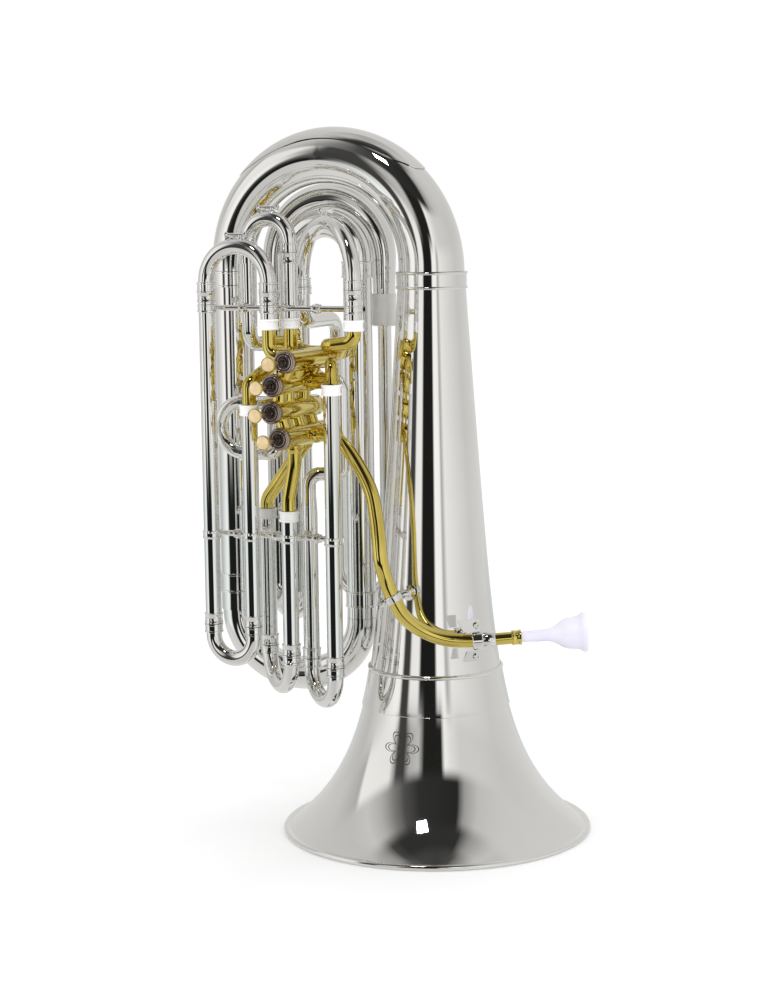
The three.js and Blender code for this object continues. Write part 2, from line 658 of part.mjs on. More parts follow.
// ---- slides -----------------------------------------------------------------------------------
// U-shaped slide: two legs joined by a half circle, with a ferrule where the legs leave the bow.
function slide(name, a, b, legFrom, bowAt, up, reach, finish = silver) {
  const bow = halfCircle(a, b, bowAt, up);
  const line = [vec(at(a, legFrom)), ...bow, vec(at(b, legFrom))];
  const leg = Math.abs(bowAt - legFrom);
  const ring = leg - reach;
  const outline = [
    [0, LEG], [ring, LEG], [ring, COLLAR], [ring + 11, COLLAR], [ring + 11, TUBE - 0.3],
    [-ring - 11, TUBE - 0.3], [-ring - 11, COLLAR], [-ring, COLLAR], [-ring, LEG], [-0.01, LEG],
  ];
  add(name, pipe(line, outline, LEG - WALL, squareTo(a, b)), finish);
}

function slides() {
  const span = (a, b) => Math.hypot(a[0] - b[0], a[1] - b[1]) / 2;
  const low = (a, b, bottom) => bottom + TUBE + span(a, b) + BOW_FOOT;
  const high = (a, b, top) => top - TUBE - span(a, b) - BOW_FOOT;
  const lower = [
    ['slide_4th_lower', T.t1, T.t3, 210, FOOT.t1],
    ['slide_1st', T.t9, T.t10, 176, FOOT.t9],
    ['slide_3rd', T.t7, T.t8, 164, FOOT.t7],
  ];
  for (const [name, a, b, bottom, foot] of lower) {
    const spring = low(a, b, bottom);
    slide(name, a, b, foot + 105, spring, -1, foot - GAP - spring);
  }
  const upper = [
    ['slide_4th_upper', T.t2, T.t1, 731, RISE_TOP.t1, 40],
    ['slide_main', T.t4, T.t5, 763, RISE_TOP.t4, 60],
    ['slide_crook', T.t6, T.t6Rear, 758, RISE_TOP.t6, 22],
  ];
  for (const [name, a, b, top, rise, depth] of upper) {
    const spring = high(a, b, top);
    slide(name, a, b, rise - depth, spring, 1, spring - rise - GAP);
  }

  // the second valve's slide lies on its side and pulls toward -X
  const { upper: z1, lower: z0, y, mouth: end, centre } = LOOP_LEGS;
  const middle = (z1 + z0) / 2;
  const half = (z1 - z0) / 2;
  const start = end + 28;
  const corners = [
    [start, y, z1], [centre - half, y, z1, half - 0.01], [centre - half, y, z0, half - 0.01], [start, y, z0],
  ];
  const inside = LOOP - WALL - GAP;
  const ring = 28 + GAP;
  const outline = [
    [0, inside], [ring, inside], [ring, LOOP + 2.4], [ring + 6, LOOP + 2.4], [ring + 6, LOOP],
    [-ring - 6, LOOP], [-ring - 6, LOOP + 2.4], [-ring, LOOP + 2.4], [-ring, inside], [-0.01, inside],
  ];
  add('slide_2nd', pipe(route(corners), outline, inside - WALL, SIDE_Y), silver);
}

// ---- leadpipe, receiver and mouthpiece ----------------------------------------------------------
const LEAD_RADIUS = 8;
const leadCorners = [
  [-98, -98, 496], [-80, -98, 491], [-64, -99, 477], [-46, -101, 452], [-33, -104, 428],
  [-25, -109, 400], [-20, -114, 378], [-16, -117, 352], [-11, -114, 328], [-4, -111, 308],
  [9, -105, 283], [30, -94, 265], [57, -81, 255],
];
const receiverFrom = [97, -61.5, 254.5];
const blowLine = [0.895, 0.44, 0.069];
const along = (distance) => receiverFrom.map((v, i) => v + blowLine[i] * distance);
const RECEIVER_LENGTH = 40;
const SHANK_IN = 14;

function leadpipe() {
  const stops = [mouth('lead'), ...leadCorners, along(-8), along(-GAP)];
  const curve = new THREE.CatmullRomCurve3(stops.map(vec));
  const outline = [[0, LEAD_RADIUS], [-0.01, LEAD_RADIUS - WALL]];
  const bore = outline.map(([s, r]) => [s, r - WALL]);
  add('leadpipe', pipe(curve.getPoints(16), outline, bore, SIDE_Y), brass);

  const tube = [vec(along(GAP)), vec(along(RECEIVER_LENGTH))];
  add('receiver', pipe(tube, [[0, 8.2], [6, 8.2], [6, 7.4], [30, 7.4], [30, 8.8], [-0.01, 8.8]],
    [[0, 6.4], [RECEIVER_LENGTH - SHANK_IN - 2, 6.8], [-0.01, 7]], SIDE_Z, ROUND_SIDES), brass);

  // turned outlines as [radius, distance beyond the receiver's mouth]
  const outside = [[6.8, 18], [7.4, 32], [10, 40], [17, 50], [19.4, 66], [23.4, 72], [22.4, 77]];
  const inside = [[17.6, 76], [15, 56], [9, 44], [4, 32]];
  const beyond = ([r, h]) => [r, SHANK_IN + h];
  const start = [5.8, 0];
  const profile = [start, ...outside.map(beyond), ...inside.map(beyond), [4.2, 0], start];
  add('mouthpiece', turned(profile, along(RECEIVER_LENGTH - SHANK_IN), blowLine, ROUND_SIDES), plastic);
}

// Ring round a pipe with a post reaching back to a foot on the bell.
function stay(name, centre, direction, ringRadius, pipeRadius, width) {
  const axis = vec(direction).normalize();
  const c = vec(centre);
  const end = (s) => c.clone().addScaledVector(axis, s * width).toArray();
  const outward = new THREE.Vector3(c.x, c.y, 0).normalize();
  const surface = bellRadius(c.z) + 1.2;
  const distance = Math.hypot(c.x, c.y);
  const inward = (d) => c.clone().addScaledVector(outward, -d).toArray();
  let solid = toSolid(bar(end(-0.5), end(0.5), ringRadius, outward, 16));
  solid = solid.add(toSolid(bar(inward(pipeRadius + 1.5), inward(distance - surface), 3.4, axis)));
  solid = solid.add(toSolid(bar(inward(distance - surface - 4), inward(distance - surface), 9, axis)));
  solid = solid.subtract(toSolid(bar(end(-3), end(3), pipeRadius, outward, 16)));
  add(name, fromSolid(solid), silver);
}

function braces() {
  stay('leadpipe_stay', [-3.2, -110.8, 306], [12, 6, -23], 11.6, LEAD_RADIUS + 0.9, 9);
  stay('receiver_stay', along(-12), blowLine, 11, LEAD_RADIUS + 0.9, 12);

  const behind = FRONT_Y + COLLAR + GAP + 3.2;
  const rod = (name, from, to, z) => add(name, bar([from, behind, z], [to, behind, z], 3, SIDE_Y), silver);
  rod('brace_upper', T.t1[0] - 5, T.t6[0] + 5, 647);
  rod('brace_lower', T.t1[0] - 5, T.t7[0] + 5, 372);
}

bell();
bowFerrule();
bigBow();
branches();
rearTubes();
slideTubes();
valveTubes();
for (let n = 0; n < valves.length; n++) {
  casing(n);
  topCap(n);
  piston(n);
}
secondLoop();
slides();
leadpipe();
braces();

// the origin lies on the floor under the middle of the whole instrument
const extent = new THREE.Box3().setFromObject(tuba);
tuba.position.set(-(extent.min.x + extent.max.x) / 2, -(extent.min.y + extent.max.y) / 2, 0);

export default tuba;
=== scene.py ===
import json
import math

import bpy
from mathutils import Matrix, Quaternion, Vector


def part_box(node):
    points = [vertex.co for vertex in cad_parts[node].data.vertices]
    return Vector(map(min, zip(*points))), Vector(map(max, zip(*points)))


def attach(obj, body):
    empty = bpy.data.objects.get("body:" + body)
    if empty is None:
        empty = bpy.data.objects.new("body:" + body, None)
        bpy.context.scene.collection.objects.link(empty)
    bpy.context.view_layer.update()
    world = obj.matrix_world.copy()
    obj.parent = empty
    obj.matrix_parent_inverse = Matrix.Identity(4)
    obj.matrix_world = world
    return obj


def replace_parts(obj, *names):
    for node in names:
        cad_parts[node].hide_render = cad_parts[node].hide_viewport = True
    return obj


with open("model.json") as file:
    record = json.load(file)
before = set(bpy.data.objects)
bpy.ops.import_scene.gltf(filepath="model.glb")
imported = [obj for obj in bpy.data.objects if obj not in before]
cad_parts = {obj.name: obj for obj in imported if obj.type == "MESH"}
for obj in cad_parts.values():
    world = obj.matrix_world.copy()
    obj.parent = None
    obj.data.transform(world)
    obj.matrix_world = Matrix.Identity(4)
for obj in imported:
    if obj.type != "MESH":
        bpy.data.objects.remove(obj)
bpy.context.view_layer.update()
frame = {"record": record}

# ---- driving dimensions, in millimetres from the foot of the bell's axis ------------------------
MM = 0.001
low_corner, high_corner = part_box("bell_flare")
BELL_AXIS = Vector(((low_corner.x + high_corner.x) / 2, (low_corner.y + high_corner.y) / 2, 0))
RIM = (high_corner.x - low_corner.x) / 2 / MM
# the bell narrows evenly above a flare that dies away over FLARE_LENGTH
BELL_STRAIGHT = 87
BELL_SLOPE = 0.0685
FLARE_LENGTH = 78
SEAM = 182
BELL_TOP = 670
# each spring is the height where a bow's half circle starts; radii are outer ones
BRANCH_X = -274.4
BOW_SPRING = 688
BOW_RADII = (39.8, 33.5, 25.5)
SECOND_SPRING = 257
SECOND_RADII = (22.5, 18.6)
SECOND_DEPTH = 0.86
INNER_X = -100.3
INNER_RADIUS = 17.6
RETURN_X = -186.6
RETURN_RADIUS = 17.2
ARCH_SPRING = 700
FRONT_Y = -125
REAR_Y = 35
# outer radii of the slide tubes, the legs inside them, the small tubing and the collars
TUBE = 9.8
LEG = 8.3
LOOP = 8.5
COLLAR = 12.2
COLLAR_LENGTH = 13
GAP = 0.3
WALL = 0.8
BIG_WALL = 1
BOW_FOOT = 3
# the far end of a line, in an outline of (distance, radius) pairs
END = -0.01
CASING = dict(front=-158, back=-50, radius=13, bore=11.6, cap=13.3)
BUTTON = dict(radius=8.8, back=-198, depth=5)
STUB = 20
STROKE_ROOM = 20
SIDES = 48
ROUND_SIDES = 96
BELL_SIDES = 256

# x and z of each valve's axis, from the lowest valve up
VALVES = [(-125, 496), (-135, 527), (-133, 559), (-116, 587)]
# x and y of each upright tube, then the heights of the tubes' ends
AXIS = {
    "4th_left": (-241, FRONT_Y), "4th_upper": (-156, FRONT_Y), "4th_right": (-185, FRONT_Y),
    "main_right": (-143, -95), "main_left": (-199, -95),
    "crook_right": (-43, FRONT_Y), "crook_rear": (-152, -47),
    "3rd_front": (-74, FRONT_Y), "3rd_rear": (-127, -85),
    "1st_front": (-133.5, FRONT_Y), "1st_rear": (-189, -78), "feed": (-81, REAR_Y),
}
TOP = {
    "4th_left": 667, "4th_upper": 667, "4th_right": 532, "main_right": 713, "main_left": 713,
    "crook_right": 670, "crook_rear": 670, "3rd_front": 559, "1st_front": 406, "1st_rear": 401,
}
FOOT = {
    "4th_left": 262, "4th_upper": 622, "4th_right": 262, "main_right": 622, "crook_right": 622,
    "3rd_front": 220, "3rd_rear": 220, "1st_front": 231, "1st_rear": 231,
}

node_body = {n: b for b, ns in frame["record"]["behaviour"]["bodies"].items() for n in ns}
X, Y, Z = Vector((1, 0, 0)), Vector((0, 1, 0)), Vector((0, 0, 1))
ORIGIN = (0, 0, 0)


# ---- materials ----------------------------------------------------------------------------------
def add_node(tree, kind, inputs, output, **settings):
    """Adds a shader node and returns an output; an input is a value or the socket that feeds it."""
    node = tree.nodes.new("ShaderNode" + kind)
    for key, value in settings.items():
        setattr(node, key, value)
    for key, value in inputs.items():
        if isinstance(value, bpy.types.NodeSocket):
            tree.links.new(value, node.inputs[key])
        else:
            node.inputs[key].default_value = value
    return node.outputs[output]


def new_material(name, **values):
    """Node material with its principled shader, which takes the values, and its coordinates."""
    material = bpy.data.materials.new(name)
    material.use_nodes = True
    tree = material.node_tree
    shader = tree.nodes["Principled BSDF"]
    for key, value in values.items():
        shader.inputs[key.replace("_", " ")].default_value = value
    place = add_node(tree, "TexCoord", {}, "Object")
    return material, tree, shader, place


def noise(tree, place, scale, detail=3.0, stretch=None):
    """Noise over the object's own coordinates, optionally stretched along its axes."""
    if stretch:
        place = add_node(tree, "Mapping", {"Vector": place, "Scale": stretch}, "Vector")
    return add_node(tree, "TexNoise", {"Vector": place, "Scale": scale, "Detail": detail}, "Fac")


def ramp(tree, source, stops):
    """Colours through (position, colour) stops."""
    output = add_node(tree, "ValToRGB", {"Fac": source}, "Color")
    elements = output.node.color_ramp.elements
    while len(elements) < len(stops):
        elements.new(0.5)
    for element, (position, colour) in zip(elements, stops):
        element.position = position
        element.color = (*colour, 1)
    return output


def paint(tree, shader, source, dark, light):
    """Base colour that goes from dark to light with the source."""
    colour = ramp(tree, source, [(0.3, dark), (0.7, light)])
    tree.links.new(colour, shader.inputs["Base Color"])


def roughen(tree, shader, source, low, high):
    """Roughness that goes from low to high with the source."""
    rough = add_node(tree, "MapRange", {"Value": source, "To Min": low, "To Max": high}, "Result")
    tree.links.new(rough, shader.inputs["Roughness"])


def bump(tree, shader, source, strength, distance):
    inputs = {"Height": source, "Strength": strength, "Distance": distance}
    tree.links.new(add_node(tree, "Bump", inputs, "Normal"), shader.inputs["Normal"])


def metal(name, dark, light, rough, ripple=0.02, cloud=6.0, coat=0.0, metallic=1.0):
    """Polished metal: slight clouding in colour and roughness and a faint hand-polished ripple."""
    material, tree, shader, place = new_material(
        name, Metallic=metallic, Coat_Weight=coat, Coat_Roughness=0.05)
    paint(tree, shader, noise(tree, place, cloud), dark, light)
    roughen(tree, shader, noise(tree, place, 40.0), *rough)
    bump(tree, shader, noise(tree, place, 9.0, 1.0), ripple, 0.002)
    return material


def turned_metal(name, dark, light, rough):
    """Lathe-turned metal with fine tool marks round the Y axis."""
    material, tree, shader, place = new_material(name, Metallic=1.0)
    marks = noise(tree, place, 180.0, 2.0, (0.1, 6.0, 0.1))
    paint(tree, shader, marks, dark, light)
    roughen(tree, shader, marks, *rough)
    bump(tree, shader, marks, 0.06, 0.0004)
    return material


def pearl_material():
    material, tree, shader, place = new_material("pearl", Roughness=0.3, Coat_Weight=0.5)
    paint(tree, shader, noise(tree, place, 120.0, 4.0), (0.64, 0.47, 0.24), (0.78, 0.60, 0.36))
    return material


def plastic_material():
    material, tree, shader, place = new_material(
        "mouthpiece_plastic", Subsurface_Weight=0.25, Subsurface_Radius=(0.004, 0.004, 0.005))
    haze = noise(tree, place, 30.0)
    paint(tree, shader, haze, (0.76, 0.73, 0.88), (0.86, 0.84, 0.95))
    roughen(tree, shader, haze, 0.2, 0.3)
    return material


# near-black material for the engraved rosette on the flare and for the painted shade in the grooves of
# the valve caps
def engraving_and_shade_material():
    material, tree, shader, place = new_material("engraving_and_painted_shade", Roughness=0.5)
    paint(tree, shader, noise(tree, place, 300.0), (0.01, 0.01, 0.01), (0.05, 0.05, 0.05))
    return material


SILVER = metal("silver", (0.86, 0.855, 0.84), (0.93, 0.925, 0.91), (0.015, 0.05))
DULL = metal("dull_silver", (0.80, 0.80, 0.77), (0.88, 0.88, 0.85), (0.34, 0.48), 0.05, 18.0,
             metallic=0.25)
SATIN = metal("satin_silver", (0.97, 0.97, 0.97), (1.0, 1.0, 1.0), (0.30, 0.45), 0.04, 20.0,
              metallic=0.08)
BRASS = metal("brass", (0.66, 0.50, 0.08), (0.88, 0.72, 0.20), (0.05, 0.12), 0.05, 14.0, 0.4)
STEEL = turned_metal("dark_nickel", (0.30, 0.23, 0.19), (0.60, 0.50, 0.45), (0.12, 0.24))
PEARL = pearl_material()
PLASTIC = plastic_material()
ENGRAVING_AND_SHADE = engraving_and_shade_material()


# ---- geometry -----------------------------------------------------------------------------------
def at(xy, z):
    return (xy[0], xy[1], z)


def top_of(key, above=0):
    return at(AXIS[key], TOP[key] + above)


def foot_of(key, above=0):
    return at(AXIS[key], FOOT[key] + above)


def upright(xy, low, high):
    return [Vector(at(xy, low)), Vector(at(xy, high))]


def route(corners):
    """Centre line through corners; a corner (x, y, z, r) is rounded with radius r."""
    step = math.radians(4)
    line = [Vector(corners[0][:3])]
    for previous, here, following in zip(corners, corners[1:], corners[2:]):
        corner = Vector(here[:3])
        before = (Vector(previous[:3]) - corner).normalized()
        after = (Vector(following[:3]) - corner).normalized()
        half = before.angle(after) / 2
        centre = (before + after).normalized() * (here[3] / math.sin(half))
        axis = after.cross(before).normalized()
        start = before * (here[3] / math.tan(half)) - centre
        sweep = math.pi - 2 * half
        count = max(3, math.ceil(sweep / step))
        for k in range(count + 1):
            line.append(corner + centre + Quaternion(axis, sweep * k / count) @ start)
    line.append(Vector(corners[-1][:3]))
    return line


def half_circle(a, b, z, up, count=48, depth=1):
    """Half circle from foot a to foot b on two short straight feet that end at height z; a depth
    below 1 flattens it into half an ellipse."""
    centre = Vector(((a[0] + b[0]) / 2, (a[1] + b[1]) / 2, z + up * BOW_FOOT))
    arm = Vector((a[0] - centre.x, a[1] - centre.y, 0))
    points = [Vector(at(a, z))]
    for k in range(count + 1):
        turn = math.pi * k / count
        points.append(centre + arm * math.cos(turn) + Z * (up * depth * arm.length * math.sin(turn)))
    points.append(Vector(at(b, z)))
    return points


def smooth_curve(points):
    """Curve through every point, rounded between them."""
    count = 14
    points = [Vector(p) for p in points]
    ends = [2 * points[0] - points[1], *points, 2 * points[-1] - points[-2]]
    line = []
    for p0, p1, p2, p3 in zip(ends, ends[1:], ends[2:], ends[3:]):
        for k in range(count):
            t = k / count
            line.append(0.5 * (2 * p1 + (p2 - p0) * t + (2 * p0 - 5 * p1 + 4 * p2 - p3) * t * t
                               + (3 * p1 - p0 - 3 * p2 + p3) * t ** 3))
    line.append(points[-1])
    return line


def square_to(a, b):
    return Vector((b[1] - a[1], a[0] - b[0], 0)).normalized()


def circle(centre, first, second, r, sides):
    """Points of a circle that turns from the first direction towards the second."""
    turns = [2 * math.pi * k / sides for k in range(sides)]
    return [centre + first * (r * math.cos(t)) + second * (r * math.sin(t)) for t in turns]


def rings(line, radius, side, sides):
    """Rings round a centre line. radius is a number or [(distance, radius)]; negative distances
    count from the far end, and two pairs at one distance make a step."""
    along = [0.0]
    for p, q in zip(line, line[1:]):
        along.append(along[-1] + (q - p).length)
    length = along[-1]
    pairs = radius if isinstance(radius, list) else [(0, radius), (length, radius)]
    outline = [(length + s if s < 0 else min(s, length), r) for s, r in pairs]

    def radius_at(s):
        for (s0, r0), (s1, r1) in zip(outline, outline[1:]):
            if s <= s1 and s1 > s0:
                return r0 + (r1 - r0) * max(0.0, s - s0) / (s1 - s0)
        return outline[-1][1]

    stations = [(s, i, r) for i, (s, r) in enumerate(outline)]
    known = [s for s, r in outline]
    for s in along:
        if min(abs(s - k) for k in known) > 1e-4:
            stations.append((s, 0, radius_at(s)))
    stations.sort()
    normal = side.copy()
    result = []
    i = 0
    for s, _, r in stations:
        while i < len(along) - 2 and along[i + 1] <= s + 1e-9:
            i += 1
        share = (s - along[i]) / (along[i + 1] - along[i])
        point = line[i].lerp(line[i + 1], share)
        tangent = (line[i + 1] - line[i]).normalized()
        if i > 0 and abs(share) < 1e-6:
            tangent = (tangent + (line[i] - line[i - 1]).normalized()).normalized()
        normal = (normal - tangent * normal.dot(tangent)).normalized()
        result.append(circle(point, normal, tangent.cross(normal), r, sides))
    return result


def skin(grid, closed=True):
    """Faces joining each ring to the next, and the last to the first when closed."""
    sides = len(grid[0])
    points = [p for ring in grid for p in ring]
    faces = []
    for i in range(len(grid) if closed else len(grid) - 1):
        n = (i + 1) % len(grid)
        for k in range(sides):
            m = (k + 1) % sides
            faces.append((i * sides + k, i * sides + m, n * sides + m, n * sides + k))
    return points, faces


def pipe(line, outer, inner, side, sides=SIDES):
    return skin(rings(line, outer, side, sides) + rings(line, inner, side, sides)[::-1])


def capped(points, faces, sides):
    """Adds flat ends on the first and the last ring."""
    ends = [tuple(reversed(range(sides))), tuple(range(len(points) - sides, len(points)))]
    return points, faces + ends


def bar(a, b, radius, side=None):
    """Solid round bar; radius may be an outline along it."""
    line = [Vector(a), Vector(b)]
    direction = (line[1] - line[0]).normalized()
    side = side or direction.orthogonal()
    points, faces = skin(rings(line, radius, side, SIDES), closed=False)
    return capped(points, faces, SIDES)


def turned(outline, base, direction, sides, closed=True):
    """Turned shape from (radius, height) pairs, stood on base and pointing along direction."""
    axis = Vector(direction).normalized()
    side = axis.orthogonal().normalized()
    grid = [circle(Vector(base) + axis * h, side, axis.cross(side), r, sides) for r, h in outline]
    return skin(grid, closed)


def disc(outline, base, direction, sides=SIDES):
    """Turned shape whose outline starts and ends on the axis; both ends are closed flat."""
    points, faces = turned(outline, base, direction, sides, closed=False)
    return capped(points, faces, sides)


def add_object(name, data):
    obj = bpy.data.objects.new(name, data)
    bpy.context.scene.collection.objects.link(obj)
    return obj


def piece(name, shape, material, node, sharp=35):
    """Adds a mesh that rides on the body of a CAD node."""
    points, faces = shape
    mesh = bpy.data.meshes.new(name)
    mesh.from_pydata([BELL_AXIS + p * MM for p in points], [], faces)
    mesh.validate()
    mesh.shade_smooth()
    mesh.set_sharp_from_angle(angle=math.radians(sharp))
    mesh.materials.append(material)
    obj = add_object(name, mesh)
    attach(obj, node_body[node])
    return obj


def stand_in(node, shape, material, sharp=35):
    """Adds the mesh that is seen in place of a CAD node."""
    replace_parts(piece("v_" + node, shape, material, node, sharp), node)


def merged(shapes):
    """One shape made of several."""
    points, faces = [], []
    for shape_points, shape_faces in shapes:
        first = len(points)
        points += shape_points
        faces += [tuple(first + i for i in face) for face in shape_faces]
    return points, faces


# ---- bell ---------------------------------------------------------------------------------------
def bell_radius(z):
    return BELL_STRAIGHT - BELL_SLOPE * z + (RIM - BELL_STRAIGHT) * math.exp(-z / FLARE_LENGTH)


def ladder(low, high, count):
    return [low + (high - low) * k / count for k in range(count + 1)]


def sheet(heights):
    """Outside of the bell going up, then its inside coming down."""
    return ([(bell_radius(z), z) for z in heights]
            + [(bell_radius(z) - BIG_WALL, z) for z in reversed(heights)])


def bell():
    """Flare with a wire rolled into its rim, and the long tapering stack above the seam."""
    bead = 3.2
    rolled = [(RIM - bead + bead * math.cos(t), bead + bead * math.sin(t))
              for t in (math.radians(170 + 20 * k) for k in range(15))]
    flare = sheet(ladder(2 * bead - 1, SEAM - GAP, 70)) + rolled
    stand_in("bell_flare", turned(flare, ORIGIN, Z, BELL_SIDES), SILVER)
    stack = sheet(ladder(SEAM, BELL_TOP, 60))
    stand_in("bell_stack", turned(stack, ORIGIN, Z, BELL_SIDES), SILVER)


def garland():
    """Band over the seam, with a rounded bead along its upper edge."""
    low, high = 158, 207
    thick, bead_height, bead_out = 1.5, 5, 1.6
    inner = [(bell_radius(z) + GAP, z) for z in reversed(ladder(low, high, 14))]
    outer = [(bell_radius(z) + thick, z) for z in ladder(low, high - bead_height, 14)]
    bead = [(bell_radius(high - 3) + thick + bead_out * math.sin(math.pi * k / 8),
             high - bead_height + bead_height * k / 8) for k in range(9)]
    step = [(bell_radius(low) + 0.9, low - 0.2), (bell_radius(low) + thick, low + 0.5)]
    outline = inner + step + outer[1:] + bead
    stand_in("bell_garland", turned(outline, ORIGIN, Z, BELL_SIDES), SILVER, sharp=50)


def bow_ferrule():
    """Sleeve between the stack and the bow, with a bead round either end."""
    low, high = BELL_TOP - 3, BOW_SPRING - GAP
    bead = ((42.4, 0), (43.4, 0.6), (43.6, 1.7), (43.4, 2.8), (42.4, 3.4))
    bead_height = bead[-1][1]
    outer = [(r, z + up) for z in (low, high - bead_height) for r, up in bead]
    bore = BOW_RADII[0] - BIG_WALL
    inner = [(bore, high), (bore, BELL_TOP + GAP), (bell_radius(BELL_TOP) + GAP, BELL_TOP + GAP),
             (bell_radius(low) + GAP, low)]
    stand_in("bow_ferrule", turned(outer + inner, ORIGIN, Z, 128), SILVER, sharp=50)


# ---- large branches -----------------------------------------------------------------------------
def ring_band(start, length, radius, tube, bead=0.8):
    """Outline of a ferrule from start along a tube: a flat band with a bead at either end."""
    end = start + length
    return [(start, tube), (start, radius), (start + 0.4, radius + bead), (start + 2, radius + bead),
            (start + 2.6, radius), (end - 2.6, radius), (end - 2, radius + bead),
            (end - 0.4, radius + bead), (end, radius), (end, tube)]


def lining(outer):
    """Inside outline of a large tube of even wall thickness."""
    return [(s, r - BIG_WALL) for s, r in outer]


def necked(band, sleeve, narrow):
    """Outlines, outer and inner, of a slide tube that starts with a band and narrows to small
    tubing past the sleeve that its slide goes into."""
    outer = band[1:] + [(sleeve, TUBE), (narrow, LOOP), (END, LOOP)]
    inner = [(0, LEG + GAP), (sleeve, LEG + GAP), (narrow, LOOP - WALL), (END, LOOP - WALL)]
    return outer, inner


def branches():
    """The two big bows, the two straight branches between them and the small upper arch."""
    bow = half_circle((0, 0), (BRANCH_X, 0), BOW_SPRING, 1, 90)
    length = math.pi * -BRANCH_X / 2 + 2 * BOW_FOOT
    r0, r1, r2 = BOW_RADII
    outer = [(0, r0), (length / 2, r1), (END, r2)]
    stand_in("big_bow", pipe(bow, outer, lining(outer), Y, 128), SILVER)

    line = upright((BRANCH_X, 0), SECOND_SPRING + GAP, BOW_SPRING - GAP)
    height = line[1].z - line[0].z
    outer = ([(0, 24.2)] + ring_band(23, 24, 25.2, 24.0, 1.1)
             + ring_band(height - 20, 19.9, 26.2, 24.8))
    inner = [(0, 21.6), (END, 23.4)]
    stand_in("outer_branch", pipe(line, outer, inner, Y, ROUND_SIDES), SILVER)

    second = half_circle((BRANCH_X, 0), (INNER_X, 0), SECOND_SPRING, -1, 72, SECOND_DEPTH)
    outer = [(0, SECOND_RADII[0]), (END, SECOND_RADII[1])]
    stand_in("second_bow", pipe(second, outer, lining(outer), Y, ROUND_SIDES), SILVER)

    line = upright((INNER_X, 0), SECOND_SPRING + GAP, ARCH_SPRING - GAP)
    height = line[1].z - line[0].z
    outer = ([(0, 18.6)] + ring_band(14, 20, 19.8, 18.2)
             + ring_band(height - 20, 19.9, INNER_RADIUS + 1.2, INNER_RADIUS))
    shape = pipe(line, outer, INNER_RADIUS - BIG_WALL, Y, ROUND_SIDES)
    stand_in("inner_branch", shape, SILVER)

    arch = half_circle((INNER_X, 0), (RETURN_X, 0), ARCH_SPRING, 1, 60)
    outer = [(0, INNER_RADIUS), (END, RETURN_RADIUS)]
    stand_in("upper_arch", pipe(arch, outer, lining(outer), Y, ROUND_SIDES), SILVER)


def bow_guard():
    """Saddle plate over the outside of the crown, with scalloped ends and a raised edge."""
    centre = Vector((BRANCH_X / 2, 0, BOW_SPRING + BOW_FOOT))
    reach = -BRANCH_X / 2
    first, last = math.radians(43), math.radians(137)
    rows, columns = 120, 32

    def bow_radius(turn):
        near, crown, far = BOW_RADII
        share = turn / (math.pi / 2)
        return near + (crown - near) * share if share < 1 else crown + (far - crown) * (share - 1)

    def half_width(u):
        scallop = 0.05 * (1 - math.cos(10 * math.pi * u)) if abs(u) > 0.8 else 0
        return math.radians(7 + 46 * math.sqrt(1 - abs(u) ** 4) * (1 - scallop))

    def lift(v):
        edge = (1 - abs(v)) / 0.06
        return GAP + 1.0 + (0.7 * math.sin(math.pi * min(1, edge)) if edge < 1 else 0)

    grid = []
    for i in range(rows + 1):
        u = 2 * i / rows - 1
        turn = first + (last - first) * i / rows
        outward = Vector((math.cos(turn), 0, math.sin(turn)))
        width = half_width(u)
        over, under = [], []
        for k in range(columns + 1):
            v = 2 * k / columns - 1
            lean = outward * math.cos(width * v) + Y * math.sin(width * v)
            spine = centre + outward * reach
            over.append(spine + lean * (bow_radius(turn) + lift(v)))
            under.append(spine + lean * (bow_radius(turn) + GAP))
        grid.append(over + under[::-1])
    points, faces = skin(grid, closed=False)
    shape = capped(points, [face[::-1] for face in faces], len(grid[0]))
    stand_in("bow_guard", shape, SILVER, sharp=50)


def ornament():
    """Engraved rosette on the front of the flare: two nested rose curves and a ring."""
    height, size, groove, count = 122, 22, 0.6, 240

    def on_bell(across, up):
        z = height + up * math.cos(math.radians(24))
        r = bell_radius(z) + 0.12
        return Vector((r * math.sin(across / r), -r * math.cos(across / r), z))

    def line_of(reach, petals):
        points, faces = [], []
        for k in range(count):
            turn = 2 * math.pi * k / count
            for offset in (-groove, groove):
                r = reach * (0.42 + 0.58 * abs(math.cos(petals * turn / 2))) + offset
                points.append(on_bell(r * math.cos(turn), r * math.sin(turn)))
            a, b = 2 * k, 2 * ((k + 1) % count)
            faces.append((a, a + 1, b + 1, b))
        return points, faces

    lines = [line_of(size, 6), line_of(size * 0.8, 6), line_of(size * 0.2, 0)]
    piece("v_ornament", merged(lines), ENGRAVING_AND_SHADE, "bell_flare")


# ---- tubes behind the bows ----------------------------------------------------------------------
REAR = dict(
    turn=628, turn_bend=18, feed_x=-148, foot=280, foot_bend=33,
    ferrule_low=619, ferrule_high=660, ferrule=14.5,
    arch_top=776, arch_start=13.8, crown=19.4,
    wide_x=-229, wide_foot=262, wide_bend=27,
)


